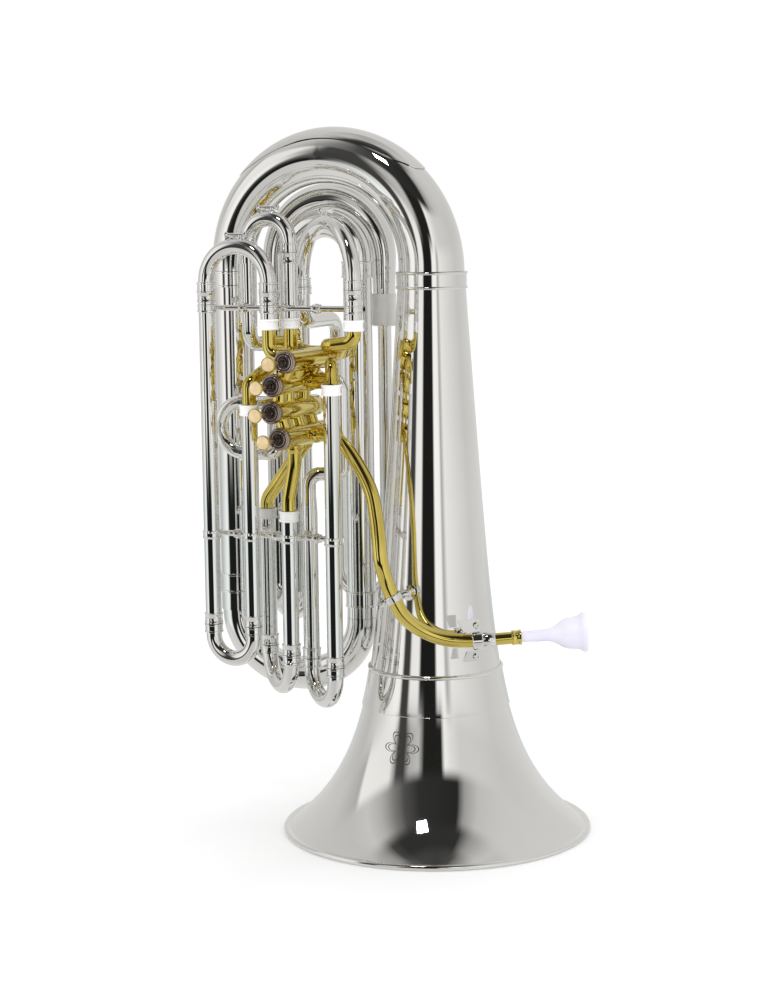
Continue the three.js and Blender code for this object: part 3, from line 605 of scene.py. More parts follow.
def rear_tubes():
    """Small tube from the tuning crook's slide down and up again, and the wide branch it feeds."""
    x = AXIS["feed"][0]
    r = REAR
    line = route([
        top_of("crook_rear"),
        (*AXIS["crook_rear"], r["turn"], r["turn_bend"]),
        (r["feed_x"], REAR_Y, r["turn"], r["turn_bend"]),
        (r["feed_x"], REAR_Y, r["foot"], r["foot_bend"]),
        (x, REAR_Y, r["foot"], r["foot_bend"]),
        (x, REAR_Y, r["ferrule_low"] - GAP),
    ])
    outlines = necked(ring_band(0, 9, COLLAR - 0.8, TUBE), 60, 120)
    shape = pipe(line, *outlines, square_to(AXIS["crook_rear"], AXIS["crook_right"]))
    stand_in("rear_loop", shape, SILVER)

    arch = (x - r["wide_x"]) / 2 - 0.01
    line = route([
        (x, REAR_Y, r["ferrule_low"]),
        (x, REAR_Y, r["arch_top"], arch),
        (r["wide_x"], REAR_Y, r["arch_top"], arch),
        (r["wide_x"], REAR_Y, r["wide_foot"], r["wide_bend"]),
        (RETURN_X, 0, r["wide_foot"], r["wide_bend"]),
        (RETURN_X, 0, ARCH_SPRING - GAP),
    ])
    ferrule = r["ferrule_high"] - r["ferrule_low"]
    crown = r["arch_top"] - r["ferrule_low"] - arch + arch * math.pi / 2
    start = r["arch_start"]
    after = [(crown, r["crown"]), (END, RETURN_RADIUS)]
    outer = ring_band(0, ferrule, r["ferrule"] - 0.6, start)[1:] + after
    inner = lining([(0, start), (ferrule, start)] + after)
    stand_in("return_branch", pipe(line, outer, inner, Y, ROUND_SIDES), SILVER)

    # plain band round the ferrule
    bevel = 0.6
    line = upright((x, REAR_Y), r["ferrule_low"] + 1, r["ferrule_high"] - 1)
    band = [(0, r["ferrule"]), (bevel, r["ferrule"] + bevel), (-bevel, r["ferrule"] + bevel),
            (END, r["ferrule"])]
    shape = pipe(line, band, r["ferrule"] - 0.5, Y)
    piece("v_return_ferrule", shape, DULL, "return_branch", sharp=50)


# ---- slide tubes --------------------------------------------------------------------------------
def plain_collar(start, length, tube):
    """Outline of a plain collar: a thick band with a rounded lip at either end."""
    end = start + length
    lip = [(0, 1), (0.5, 0.2), (1.5, 0), (2.6, 0.1), (3.2, 0.9)]
    first = [(start + s, COLLAR - drop) for s, drop in lip]
    second = [(end - s, COLLAR - drop) for s, drop in reversed(lip)]
    return [(start, tube), *first, *second, (end, tube)]


def outer_tube(key, mate, plain_end, finish=SATIN):
    """Fixed slide tube: silver, with a plain collar at one end and a thin ferrule at the other."""
    name = "tube_" + key
    low, high = FOOT[key], TOP[key]
    line = upright(AXIS[key], low, high)
    stand_in(name, pipe(line, TUBE, LEG + GAP, square_to(AXIS[key], AXIS[mate])), SILVER)
    bore = TUBE + 0.02
    length = COLLAR_LENGTH - 0.01
    for end, z0 in (("low", low), ("high", high - COLLAR_LENGTH)):
        plain = end == plain_end
        band = upright(AXIS[key], z0, z0 + COLLAR_LENGTH)
        outline = plain_collar(0, length, bore) if plain else ring_band(0, length, TUBE + 1, bore, 0.7)
        shape = pipe(band, outline[1:-1], bore, X)
        piece(f"v_{name}_{end}_collar", shape, finish if plain else SILVER, name, sharp=50)


# the crook behind the valves: its low and high runs, where it turns, and its left end, which
# meets the main slide's rear tube
CROOK = dict(low=590, high=604, x=-83, y=-38, left=(-190.9, -62, 602))


def slide_tubes():
    """Fixed tubes that the slides go into."""
    outer_tube("4th_left", "4th_right", "none")
    outer_tube("4th_upper", "4th_left", "low")
    outer_tube("4th_right", "4th_left", "high")
    outer_tube("main_right", "main_left", "low")
    outer_tube("crook_right", "crook_rear", "low")
    outer_tube("3rd_front", "3rd_rear", "high")
    outer_tube("1st_front", "1st_rear", "high", DULL)
    outer_tube("1st_rear", "1st_front", "high", DULL)

    # the main slide's rear tube turns aside to meet the crook
    left_end = CROOK["left"]
    line = route([top_of("main_left"), (*AXIS["main_left"], left_end[2], 16), left_end])
    sleeve = 60
    outer = [(0, COLLAR), (COLLAR_LENGTH, COLLAR), (COLLAR_LENGTH, TUBE), (sleeve, TUBE),
             (-30, LOOP + 0.6), (END, LOOP + 0.6)]
    inner = [(0, LEG + GAP), (sleeve, LEG + GAP), (-20, LOOP - WALL), (END, LOOP - WALL)]
    shape = pipe(line, outer, inner, square_to(AXIS["main_right"], AXIS["main_left"]))
    stand_in("tube_main_left", shape, SILVER)

    # the third slide's rear tube turns in under the valves and climbs to its port
    turn_x, turn_z, port_y = -90, 446, PORTS["3rd_rear"][2]
    x3, z3 = VALVES[2]
    line = route([
        foot_of("3rd_rear"),
        (*AXIS["3rd_rear"], turn_z, 14),
        (turn_x, port_y, turn_z, 9),
        (turn_x, port_y, z3, 13),
        (x3 + CASING["radius"], port_y, z3),
    ])
    outlines = necked(ring_band(0, COLLAR_LENGTH, TUBE + 1, TUBE), 180, 200)
    shape = pipe(line, *outlines, square_to(AXIS["3rd_front"], AXIS["3rd_rear"]))
    stand_in("tube_3rd_rear", shape, SILVER)


# ---- brass tubing -------------------------------------------------------------------------------
# port: its valve, its direction in x and z, its y, and how far it stands above the valve's axis
PORTS = {
    "lead": (0, (1, 0), -98, 0),
    "1st_front": (0, (0, -1), FRONT_Y, 0),
    "1st_rear": (0, (-64, -84), -78, 0),
    "loop_upper": (1, (-1, 0), -98, 5),
    "loop_lower": (1, (-1, 0), -70, 0),
    "3rd_front": (2, (1, 0), -92, 0),
    "3rd_rear": (2, (1, 0), -66, 0),
    "4th_upper": (3, (-1, 0), FRONT_Y, 4),
    "4th_right": (3, (-1, 0), -72, 0),
}
# short tubes between neighbouring casings: the lower valve and the y of each
KNUCKLES = [(0, -140), (0, -104), (0, -72), (1, -142), (1, -122), (1, -84), (2, -142), (2, -114),
            (2, -76)]
# bend of the third valve's front tube over to its port
HOOK = dict(x=-89, top=584, bend=12, radius=7.5)


def mouth(key, reach=STUB):
    """Point on a port's axis, reach away from its valve's axis."""
    n, direction, y, shift = PORTS[key]
    x, z = VALVES[n]
    size = math.hypot(*direction)
    return (x + direction[0] * reach / size, y, z + direction[1] * reach / size + shift)


def brass_tube(name, corners, side=Y):
    stand_in(name, pipe(route(corners), LOOP, LOOP - WALL, side), BRASS)


def valve_tubes():
    """Brass tubing that joins the slides to the valves."""
    brass_tube("brass_4th_in", [
        foot_of("4th_upper", -GAP),
        (*AXIS["4th_upper"], mouth("4th_upper")[2], 14),
        mouth("4th_upper"),
    ])
    brass_tube("brass_4th_out", [
        top_of("4th_right", GAP),
        (*AXIS["4th_right"], 558, 12),
        (-165, PORTS["4th_right"][2], VALVES[3][1], 14),
        mouth("4th_right"),
    ])
    c = CROOK
    left_x, left_y, left_z = c["left"]
    brass_tube("main_crook", [
        (left_x + 0.1, left_y + 0.5, left_z),
        (-185, c["y"], left_z, 10),
        (-150, c["y"], c["low"], 15),
        (-102, c["y"], c["low"], 15),
        (c["x"], -64, c["high"], 12),
        (c["x"], FRONT_Y, c["high"], 14),
        (*AXIS["crook_right"], c["high"] + 5, 12),
        foot_of("crook_right", -GAP),
    ], Z)
    brass_tube("brass_1st_front", [
        top_of("1st_front", GAP),
        (*AXIS["1st_front"], 420, 40),
        (VALVES[0][0], FRONT_Y, 462, 40),
        mouth("1st_front"),
    ])
    brass_tube("brass_1st_rear", [
        top_of("1st_rear", GAP),
        (*AXIS["1st_rear"], 412, 20),
        mouth("1st_rear"),
    ])

    h = HOOK
    port_y = PORTS["3rd_front"][2]
    line = route([
        top_of("3rd_front", GAP),
        (*AXIS["3rd_front"], h["top"], h["bend"]),
        (h["x"], port_y, h["top"], h["bend"]),
        (h["x"], port_y, VALVES[2][1], h["bend"]),
        mouth("3rd_front"),
    ])
    r = h["radius"]
    outer = [(0, LOOP + 1), (1.5, LOOP + 0.4), (6, r), (14, r - 0.6), (-20, r), (-8, LOOP), (END, LOOP)]
    stand_in("brass_3rd", pipe(line, outer, r - 1.4, X), BRASS)


def casing(n):
    """Valve casing with its rear cap, its ports and the tubes that lead on to the next casing."""
    x, z = VALVES[n]
    c = CASING
    r = c["radius"]
    outline = [(0, r), (0.1, r + 0.7), (2.5, r + 0.7), (3, r), (-22, r), (-21, r + 0.8),
               (-12, r + 0.8), (-11, c["cap"]), (-1, c["cap"]), (END, c["cap"] - 1)]
    barrel = pipe([Vector((x, c["front"], z)), Vector((x, c["back"], z))], outline, c["bore"], X)
    back = disc([(0, 0), (c["bore"] + 0.5, 0), (c["bore"] + 0.5, 1.8), (0, 1.8)], (x, c["back"], z), -Y)
    shapes = [barrel, back]
    for key, (valve, *_) in PORTS.items():
        if valve == n:
            ends = [Vector(mouth(key, 8)), Vector(mouth(key))]
            outline = [(0, LOOP), (6, LOOP), (6.5, LOOP + 0.9), (10.5, LOOP + 0.9), (END, LOOP)]
            shapes.append(pipe(ends, outline, LOOP - WALL, Y))
    for valve, y in KNUCKLES:
        if valve == n:
            next_x, next_z = VALVES[n + 1]
            shapes.append(bar((x, y, z), (next_x, y, next_z), LOOP, Y))
    if n == len(VALVES) - 1:
        # elbow from the main slide straight down into the casing wall
        wall = (x - r, AXIS["main_right"][1], z)
        elbow = route([foot_of("main_right", -GAP), (*AXIS["main_right"], z, 9), wall])
        shapes.append(pipe(elbow, LOOP, LOOP - WALL, Y))
    name = f"valve_casing_{n + 1}"
    stand_in(name, merged(shapes), BRASS)


def top_cap(n):
    """Ringed cap round the piston stem, with two near-black rings of painted shade laid in the grooves
    between its ridges.
    """
    x, z = VALVES[n]
    r = CASING["cap"]
    base = (x, CASING["front"] - GAP, z)
    name = f"valve_cap_{n + 1}"
    outline = [(r - 0.5, 0), (r, 0.4), (r, 4.6), (r - 0.9, 5.4)]
    ridge = ((1.0, 5.2), (0.7, 6.4), (0, 6.9), (-0.7, 6.4), (-1.0, 5.2))
    for middle in (r - 2.2, r - 5.0):
        outline += [(middle + out, height) for out, height in ridge]
    outline += [(5.6, 5.0), (4.9, 6.2), (4.4, 8.4), (3.4, 8.4), (3.4, 0)]
    stand_in(name, turned(outline, base, -Y, ROUND_SIDES), STEEL, sharp=50)
    # near-black rings of painted shade, laid in the hollows between the ridges where shade falls
    for inner, outer in ((r - 4.1, r - 3.1), (5.5, r - 5.9)):
        painted_groove_shade = [(inner, 5.1), (outer, 5.1), (outer, 5.4), (inner, 5.4)]
        shape = turned(painted_groove_shade, base, -Y, 64)
        piece(f"v_{name}_felt_{inner:.0f}", shape, ENGRAVING_AND_SHADE, name)


def piston(n):
    """Piston, and the stem that carries the finger button."""
    x, z = VALVES[n]
    name = f"piston_{n + 1}"
    bore, stem, boss = CASING["bore"] - GAP, 2.6, 4.6
    foot = CASING["back"] - 2 - STROKE_ROOM
    head = CASING["front"] + STROKE_ROOM
    length = foot - BUTTON["back"] - GAP
    top = foot - head
    outline = [(0, 0), (bore, 0), (bore, top), (bore - 3, top + 2), (stem, top + 2), (stem, length - 4),
               (boss, length - 3), (boss, length), (0, length)]
    stand_in(name, disc(outline, (x, foot, z), -Y), STEEL)


def finger_button(n):
    """Brass cup with a pearl set into it."""
    x, z = VALVES[n]
    name = f"finger_button_{n + 1}"
    r, y, depth = BUTTON.values()
    base = (x, y, z)
    cup = [(0, 0), (r - 2, 0), (r - 0.4, 0.8), (r, 2), (r, depth - 1.2), (r - 0.5, depth - 0.5),
           (r - 1, depth - 0.6), (r - 1.1, depth - 1.4), (0, depth - 1.4)]
    stand_in(name, disc(cup, base, -Y, 64), BRASS)
    top = [(0, depth - 1.4), (r - 1.15, depth - 1.4), (r - 1.15, depth - 0.7), (r - 2.2, depth - 0.25),
           (0, depth)]
    piece("v_" + name + "_pearl", disc(top, base, -Y, 64), PEARL, name)


# second valve's loop, which lies on its side: heights of its legs, and where the slide's sit
LOOP_LEGS = dict(upper=532, lower=471, y=-98, mouth=-205, centre=-210, slip=28)


def second_loop():
    """Fixed legs of the second valve's loop, open to the left for the slide."""
    upper, lower, y, end, *_ = LOOP_LEGS.values()
    outer = [(0, LOOP + 1.6), (0.4, LOOP + 2.4), (7.4, LOOP + 2.4), (8, LOOP + 1.6), (8, LOOP),
             (END, LOOP)]
    line = [Vector((end, y, upper)), Vector(mouth("loop_upper"))]
    stand_in("tube_2nd_upper", pipe(line, outer, LOOP - WALL, Y), SILVER)
    line = route([
        (end, y, lower),
        (-164, y, lower, 8),
        (-170, PORTS["loop_lower"][2], VALVES[1][1], 10),
        mouth("loop_lower"),
    ])
    stand_in("tube_2nd_lower", pipe(line, outer, LOOP - WALL, Y), SILVER)


# ---- slides -------------------------------------------------------------------------------------
# slide, its two tubes and the outside of its bow; the upper ones also how deep their legs go
LOWER_SLIDES = (
    ("slide_4th_lower", "4th_left", "4th_right", 210),
    ("slide_1st", "1st_front", "1st_rear", 176),
    ("slide_3rd", "3rd_front", "3rd_rear", 164),
)
UPPER_SLIDES = (
    ("slide_4th_upper", "4th_upper", "4th_left", 731, 40),
    ("slide_main", "main_right", "main_left", 763, 60),
    ("slide_crook", "crook_right", "crook_rear", 758, 22),
)
LOWER_DEPTH = 105


def span(a, b):
    return math.dist(a, b) / 2


def mirrored(outline):
    """The outline again, from the far end of the line."""
    return [(-distance, radius) for distance, radius in reversed(outline)]


def slide(name, a, b, leg_from, bow_at, up, ring):
    """Two legs and a half circle; the ferrules on its legs start ring along each leg."""
    line = [Vector(at(a, leg_from)), *half_circle(a, b, bow_at, up), Vector(at(b, leg_from))]
    band = ring_band(ring, 11, TUBE + 1, LEG, 0.7)
    band[-1] = (band[-1][0], TUBE - 0.3)
    outer = [(0, LEG)] + band + mirrored(band) + [(END, LEG)]
    stand_in(name, pipe(line, outer, LEG - WALL, square_to(a, b)), SILVER)
    if up > 0:
        pull_bar(name, a, b, bow_at + BOW_FOOT + span(a, b) + LEG)


def pull_bar(name, a, b, top):
    """Small grip on the crown of an upper bow: two posts carrying a bar with ball ends."""
    middle = Vector(((a[0] + b[0]) / 2, (a[1] + b[1]) / 2, top))
    direction = Vector((b[0] - a[0], b[1] - a[1], 0)).normalized()
    rise, post_at, end_at = 5, 6, 15
    post = [(0, 4.2), (2.6, 4.2), (3.6, 2.6), (END, 2.6)]
    ball = [(0, 1.4), (0.8, 3.2), (2.2, 4), (3.8, 3.2), (4.8, 2.2)]
    shapes = []
    for offset in (-post_at, post_at):
        foot = middle + direction * offset
        shapes.append(bar(foot - Z * 2, foot + Z * rise, post))
    ends = [middle + direction * offset + Z * rise for offset in (-end_at, end_at)]
    shapes.append(bar(*ends, ball + mirrored(ball[1:]) + [(END, 1.2)]))
    piece(f"v_{name}_grip", merged(shapes), SILVER, name)


def slides():
    for name, first, second, bottom in LOWER_SLIDES:
        a, b = AXIS[first], AXIS[second]
        spring = bottom + TUBE + span(a, b) + BOW_FOOT
        slide(name, a, b, FOOT[first] + LOWER_DEPTH, spring, -1, LOWER_DEPTH + GAP)
    for name, first, second, top, depth in UPPER_SLIDES:
        a, b = AXIS[first], AXIS[second]
        spring = top - TUBE - span(a, b) - BOW_FOOT
        slide(name, a, b, TOP[first] - depth, spring, 1, depth + GAP)


def second_slide():
    """Slide of the second valve's loop: its legs go inside the fixed ones."""
    upper, lower, y, end, centre, slip = LOOP_LEGS.values()
    half = (upper - lower) / 2
    start = end + slip
    line = route([
        (start, y, upper),
        (centre - half, y, upper, half - 0.01),
        (centre - half, y, lower, half - 0.01),
        (start, y, lower),
    ])
    inside = LOOP - WALL - GAP
    ring = slip + GAP
    band = [(ring, inside), (ring, LOOP + 1.8), (ring + 0.5, LOOP + 2.4), (ring + 5.5, LOOP + 2.4),
            (ring + 6, LOOP + 1.8), (ring + 6, LOOP)]
    outer = [(0, inside)] + band + mirrored(band) + [(END, inside)]
    stand_in("slide_2nd", pipe(line, outer, inside - WALL, Y), SILVER)


# ---- leadpipe, receiver and mouthpiece ----------------------------------------------------------
LEAD_CORNERS = [
    (-98, -98, 496), (-80, -98, 491), (-64, -99, 477), (-46, -101, 452), (-33, -104, 428),
    (-25, -109, 400), (-20, -114, 378), (-16, -117, 352), (-11, -114, 328), (-4, -111, 308),
    (9, -105, 283), (30, -94, 265), (57, -81, 255),
]
RECEIVER_FROM = Vector((97, -61.5, 254.5))
BLOW_LINE = Vector((0.895, 0.44, 0.069)).normalized()
RECEIVER_LENGTH = 40
SHANK_IN = 14


def along(distance):
    return RECEIVER_FROM + BLOW_LINE * distance


def leadpipe():
    """Leadpipe from the first valve round the bell, and the receiver on its end."""
    curve = smooth_curve([mouth("lead"), *LEAD_CORNERS, along(-8), along(-GAP)])
    outer = [(0, 8), (150, 8.8), (-40, 8.6), (END, 7.6)]
    stand_in("leadpipe", pipe(curve, outer, 6.4, Y), BRASS)
    outer = [(0, 7.8), (0.4, 8.4), (3, 8.4), (3.4, 7.8), (6, 7.8), (6.4, 7.3), (28, 7.4), (28.4, 8.6),
             (29, 9), (31, 9), (31.6, 8.5), (36, 8.5), (37, 9.1), (39.4, 9.1), (END, 8.6)]
    tube = [along(GAP), along(RECEIVER_LENGTH)]
    stand_in("receiver", pipe(tube, outer, 6.7, Z), BRASS, sharp=50)


def mouthpiece():
    """Shank, cup and rim turned in one; heights are from the receiver's mouth."""
    outside = [(5.8, -SHANK_IN), (6.8, 17), (7.1, 27), (7.7, 33), (9.4, 38.5), (12.4, 43.5),
               (15.6, 48), (17.8, 53), (18.9, 59), (19.5, 65), (20.4, 69), (22.4, 71.4), (23.4, 73),
               (23.7, 75), (22.8, 77), (21, 77.6)]
    inside = [(18.4, 76.6), (17.2, 72), (16, 61), (13, 50), (8, 42), (4, 34), (4.2, -SHANK_IN)]
    shape = turned(outside + inside, along(RECEIVER_LENGTH), BLOW_LINE, ROUND_SIDES)
    stand_in("mouthpiece", shape, PLASTIC, sharp=50)


# ---- stays and braces ---------------------------------------------------------------------------
def from_bell(point):
    """Level direction from the bell's axis out to a point."""
    return Vector((point.x, point.y, 0)).normalized()


def stay(name, centre, direction, ring_radius, pipe_radius, width):
    """Ring clamp round a pipe, with a post and a foot on the bell."""
    axis = Vector(direction).normalized()
    c = Vector(centre)
    outward = from_bell(c)
    ends = [c - axis * (width / 2), c + axis * (width / 2)]
    chamfer = 0.8
    outer = [(0, ring_radius - chamfer), (chamfer, ring_radius), (width - chamfer, ring_radius),
             (END, ring_radius - chamfer)]
    ring = pipe(ends, outer, pipe_radius, outward)
    reach = math.hypot(c.x, c.y) - bell_radius(c.z) - 1.2
    far = reach - pipe_radius
    outline = [(0, 5), (3, 3.2), (far - 9, 3.2), (far - 5, 5), (-3, 9), (END, 9)]
    post = bar(c - outward * (pipe_radius + 1), c - outward * reach, outline)
    stand_in(name, merged([ring, post]), SILVER)


def bell_plate(name, centre, height, ears):
    """Plate behind a stay's ring: an ear above and one below, each with its screw. An ear is
    (1 above or -1 below, length, height)."""
    outward = from_bell(centre)
    sideways = Z.cross(outward)
    right, half_thick, stand_off, lean = 1.5, 0.9, 2, 5
    screw = [(0, 0), (4.2, 0), (4.2, 1.8), (3.4, 2.6), (1.6, 2.6), (1.3, 1.2), (0, 1.2)]
    shapes = []
    for up, length, tall in ears:
        middle = centre + Z * (up * height / 2) + outward * stand_off
        corners = []
        for depth in (-half_thick, half_thick):
            for a, b in ((0, -1), (1, -1), (1, 1), (0, 1)):
                slant = 0.3 * length if a == 0 and b != up else 0
                across = right - (1 - a) * length + slant
                out = depth + lean * a
                corners.append(middle + sideways * across + Z * (b * tall / 2) + outward * out)
        faces = [(3, 2, 1, 0), (4, 5, 6, 7), (0, 1, 5, 4), (1, 2, 6, 5), (2, 3, 7, 6), (3, 0, 4, 7)]
        shapes.append((corners, faces))
        head = middle + sideways * (right - 4) + outward * (lean + 0.5)
        shapes.append(disc(screw, head, outward, 32))
    piece("v_" + name + "_plate", merged(shapes), SILVER, name)


def screw_lug(name, centre, direction, length):
    """Split-clamp lug with a screw through it, standing off a clamp ring."""
    lug = [(0, 3.4), (length - 2, 3.0), (END, 2.0)]
    screw = [(0, 2.4), (1.2, 3.2), (3, 3.2), (3.2, 2.0), (9, 2.0), (9.2, 3.0), (11, 3.0), (END, 2.2)]
    half_screw = direction.orthogonal().normalized() * 6
    middle = centre + direction * (length - 4)
    shapes = [bar(centre, centre + direction * length, lug),
              bar(middle - half_screw, middle + half_screw, screw)]
    piece(f"v_{name}_lug", merged(shapes), SILVER, name)


def stays():
    """The leadpipe's two stays on the bell."""
    stay("leadpipe_stay", (-3.2, -110.8, 306), (12, 6, -23), 11.6, 8.9, 9)
    screw_lug("leadpipe_stay", Vector((-11.2, -115.8, 303)), Vector((-0.8, -0.5, -0.3)).normalized(), 9)
    foot = along(-12)
    stay("receiver_stay", foot, BLOW_LINE, 11, 8.9, 12)
    bell_plate("receiver_stay", foot - from_bell(foot) * 6, 37.5, ((1, 27, 14.5), (-1, 20, 12)))
    sleeve = pipe([along(-7), along(9)], [(0, 8.9), (0.8, 9.5), (-0.8, 9.5), (END, 8.9)], 8.5, Z)
    piece("v_receiver_sleeve", sleeve, SILVER, "receiver_stay", sharp=50)


# long rods that tie the slide tubes together: height, and the tubes from left to right
BRACES = {
    "brace_upper": (647, ("4th_left", "4th_upper", "crook_right")),
    "brace_lower": (372, ("4th_left", "4th_right", "1st_front", "3rd_front")),
}


def braces():
    """Each rod runs behind its tubes, with a ring on every tube and a turned knot between two."""
    behind = FRONT_Y + COLLAR + GAP + 3.2
    rod, stem, half, past = 3.5, 3.4, 6, 5
    sleeve = [(0, 3.4), (1, 4.6), (11, 4.6), (END, 3.4)]
    knot = [(0, 3.5), (1.4, 5.2), (3, 4), (4.4, 6), (7.6, 6), (9, 4), (10.6, 5.2), (END, 3.5)]
    lip = [(0.7, TUBE + 1.5), (2.4, TUBE + 1.7), (3, TUBE + 1)]
    ring = [(0, TUBE + 0.5), *lip, *mirrored(lip), (END, TUBE + 0.5)]
    for name, (z, keys) in BRACES.items():
        tubes = [AXIS[key] for key in keys]
        left_end, right_end = tubes[0][0] - past, tubes[-1][0] + past
        shapes = [bar((left_end, behind, z), (right_end, behind, z), rod)]
        for x, y in tubes:
            shapes.append(bar((x - half, behind, z), (x + half, behind, z), sleeve))
            shapes.append(pipe(upright((x, y), z - 5, z + 5), ring, TUBE + 0.05, X))
            shapes.append(bar((x, y + TUBE, z), (x, behind, z), stem))
        for first, second in zip(tubes, tubes[1:]):
            x = (first[0] + second[0]) / 2
            shapes.append(bar((x - half, behind, z), (x + half, behind, z), knot))
        stand_in(name, merged(shapes), SILVER)


# ---- stage --------------------------------------------------------------------------------------
# The room that polished metal mirrors, as bands one above the other. A band gives the room's
# brightness by bearing: 0 is where the camera stands and 90 is a quarter turn to its right.
ROOM_BEARING = 24.7
ROOM_FLOOR = [
    (-180, 0.74), (-90, 0.70), (-50, 0.62), (0, 0.58), (40, 0.74), (180, 0.74),
]
ROOM_LOWER = [
    (-180, 0.75), (-120, 0.50), (-100, 0.72), (-72, 0.98), (-64, 0.80), (-57, 0.012), (10, 0.012),
    (16, 0.95), (40, 0.85), (70, 0.50), (90, 0.64), (120, 0.50), (180, 0.75),
]
ROOM_WALL = [
    (-180, 0.75), (-120, 0.55), (-90, 0.75), (-68, 1.0), (-61, 0.95), (-57, 0.05), (-47, 0.05),
    (-43, 0.90), (-30, 0.92), (-26, 0.012), (-1, 0.012), (3, 1.0), (14, 0.95), (19, 0.40),
    (27, 0.86), (60, 0.72), (90, 0.62), (120, 0.66), (180, 0.75),
]
ROOM_MIDDLE = [
    (-180, 0.70), (-125, 0.60), (-104, 0.45), (-100, 0.90), (-66, 0.85), (-56, 0.06), (-46, 0.05),
    (-38, 0.45), (-26, 0.55), (-18, 0.015), (7, 0.015), (12, 0.95), (20, 0.80), (34, 0.66),
    (60, 0.64), (90, 0.60), (180, 0.70),
]
ROOM_UPPER = [
    (-180, 0.66), (-130, 0.60), (-108, 0.55), (-90, 0.60), (-74, 0.46), (-58, 0.22), (-44, 0.08),
    (-24, 0.03), (28, 0.02), (38, 0.35), (56, 0.55), (90, 0.62), (180, 0.66),
]
ROOM_CEILING = [
    (-180, 0.40), (-125, 0.55), (-104, 0.48), (-88, 0.30), (-76, 0.06), (-60, 0.03), (36, 0.03),
    (56, 0.32), (90, 0.58), (180, 0.40),
]
ROOM_ZENITH = [
    (-180, 0.40), (-120, 0.45), (-92, 0.14), (-60, 0.06), (0, 0.05), (50, 0.07), (80, 0.30),
    (110, 0.52), (180, 0.40),
]
WARM, COOL = (1.0, 0.99, 0.965), (0.95, 1.0, 0.985)
# each band above the floor: the sines of the heights where it starts and is complete, and its tint
ROOM = (
    (ROOM_LOWER, -0.31, -0.26, COOL),
    (ROOM_WALL, -0.14, -0.09, WARM),
    (ROOM_MIDDLE, 0.10, 0.30, WARM),
    (ROOM_UPPER, 0.50, 0.62, WARM),
    (ROOM_CEILING, 0.86, 0.93, WARM),
    (ROOM_ZENITH, 0.965, 0.995, WARM),
)
DIFFUSE_EXTRA = 0.2


def studio_world():
    """Plain white for the camera and for soft light, and the banded room for mirrors."""
    world = bpy.data.worlds.new("studio")
    bpy.context.scene.world = world
    world.use_nodes = True
    tree = world.node_tree
    tree.nodes.clear()
    link = tree.links.new

    def calculate(operation, first, second=0.0):
        return add_node(tree, "Math", {0: first, 1: second}, 0, operation=operation)

    def room_band(band, tint):
        stops = [((degrees + 180) / 360, [value * channel for channel in tint])
                 for degrees, value in band]
        return ramp(tree, share, stops)

    split = tree.nodes.new("ShaderNodeSeparateXYZ")
    link(add_node(tree, "TexCoord", {}, "Generated"), split.inputs[0])
    east, north, up = split.outputs
    bearing = calculate("ARCTAN2", east, calculate("MULTIPLY", north, -1.0))
    relative = calculate("SUBTRACT", bearing, math.radians(ROOM_BEARING))
    turns = calculate("DIVIDE", relative, 2 * math.pi)
    share = calculate("FRACT", calculate("ADD", turns, 1.5))
    room = room_band(ROOM_FLOOR, WARM)
    for band, start, full, tint in ROOM:
        rise = add_node(tree, "MapRange", {"Value": up, "From Min": start, "From Max": full},
                        "Result", interpolation_type="SMOOTHSTEP")
        room = add_node(tree, "Mix", {"Factor": rise, "A": room, "B": room_band(band, tint)},
                        "Result", data_type="RGBA")

    rays = tree.nodes.new("ShaderNodeLightPath")
    extra = calculate("MULTIPLY", rays.outputs["Is Diffuse Ray"], DIFFUSE_EXTRA)
    plain = {"Color": (1, 1, 1, 1), "Strength": calculate("ADD", 1.0, extra)}
    seen = add_node(tree, "Background", plain, 0)
    mirrored_room = add_node(tree, "Background", {"Color": room}, 0)
    chosen = {0: rays.outputs["Is Glossy Ray"], 1: seen, 2: mirrored_room}
    output = tree.nodes.new("ShaderNodeOutputWorld")
    link(add_node(tree, "MixShader", chosen, 0), output.inputs["Surface"])
    bpy.context.scene.view_settings.view_transform = "Standard"


SOFTBOX = dict(size=0.5, watts=7, place=(90, -1880, 3600), aim=(-0.025, 0.47, -0.88))
# the picture's camera: its place, its turn, dip and roll in degrees, and its lens and film in mm
CAMERA = dict(place=(1118.62, -2428.11, 773.67), turn=26, dip=7.743, roll=-0.744, lens=79.487, film=36)


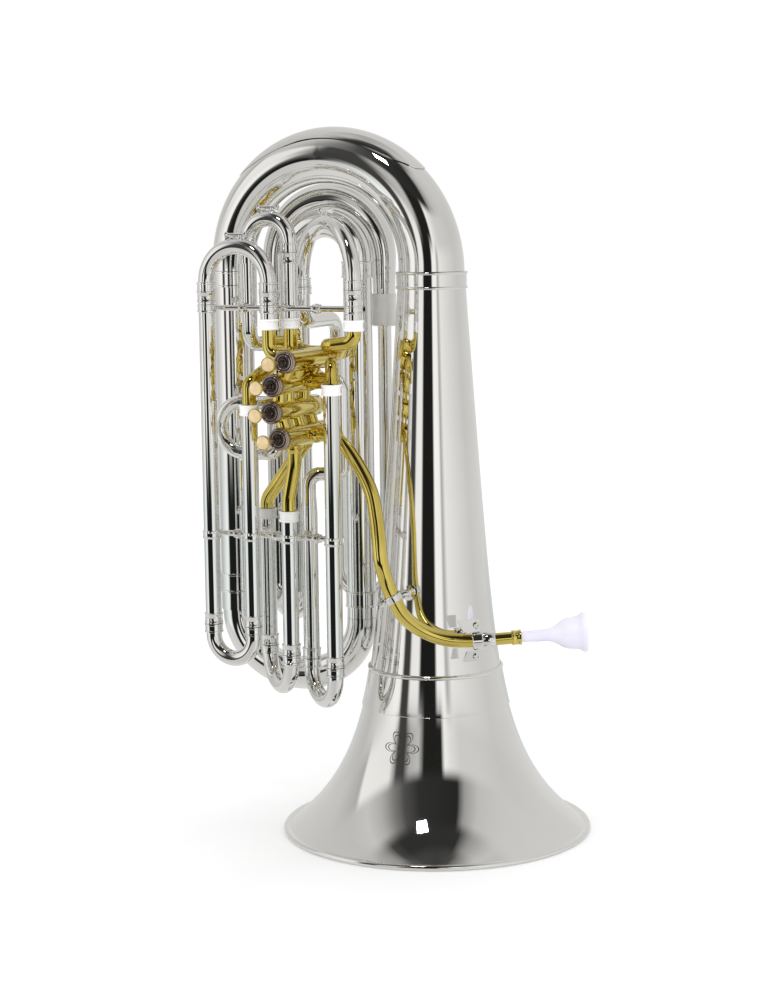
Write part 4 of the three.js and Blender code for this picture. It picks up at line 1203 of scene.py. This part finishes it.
def softbox():
    """Square lamp high in front, which shows as a small bright window in the polished metal."""
    light = bpy.data.lights.new("softbox", "AREA")
    light.size = SOFTBOX["size"]
    light.energy = SOFTBOX["watts"]
    obj = add_object("softbox", light)
    obj.location = BELL_AXIS + Vector(SOFTBOX["place"]) * MM
    obj.rotation_mode = "QUATERNION"
    obj.rotation_quaternion = Vector(SOFTBOX["aim"]).to_track_quat("-Z", "Y")


def floor():
    """Plain pale floor, sized in metres, just below the rim; mirrors don't see it."""
    material, tree, shader, place = new_material("floor", Roughness=0.7, Specular_IOR_Level=0.1)
    paint(tree, shader, noise(tree, place, 4.0), (0.93, 0.93, 0.93), (0.96, 0.96, 0.96))
    size, drop = 12, 0.0005
    corners = [(x * size, y * size, -drop) for x, y in ((-1, -1), (1, -1), (1, 1), (-1, 1))]
    mesh = bpy.data.meshes.new("floor")
    mesh.from_pydata(corners, [], [(0, 1, 2, 3)])
    mesh.materials.append(material)
    obj = add_object("floor", mesh)
    obj.visible_glossy = False


def camera():
    """The view in the picture: a little above, from the front right."""
    turn, dip, roll = (math.radians(CAMERA[key]) for key in ("turn", "dip", "roll"))
    forward = Vector((-math.sin(turn) * math.cos(dip), math.cos(turn) * math.cos(dip), -math.sin(dip)))
    data = bpy.data.cameras.new("camera")
    data.sensor_fit = "VERTICAL"
    data.sensor_height = CAMERA["film"]
    data.lens = CAMERA["lens"]
    data.clip_end = 50
    obj = add_object("camera", data)
    obj.location = BELL_AXIS + Vector(CAMERA["place"]) * MM
    obj.rotation_mode = "QUATERNION"
    obj.rotation_quaternion = Quaternion(forward, -roll) @ forward.to_track_quat("-Z", "Y")
    bpy.context.scene.camera = obj


bell()
garland()
bow_ferrule()
bow_guard()
ornament()
branches()
rear_tubes()
slide_tubes()
valve_tubes()
for number in range(len(VALVES)):
    casing(number)
    top_cap(number)
    piston(number)
    finger_button(number)
second_loop()
slides()
second_slide()
leadpipe()
mouthpiece()
stays()
braces()
studio_world()
softbox()
floor()
camera()
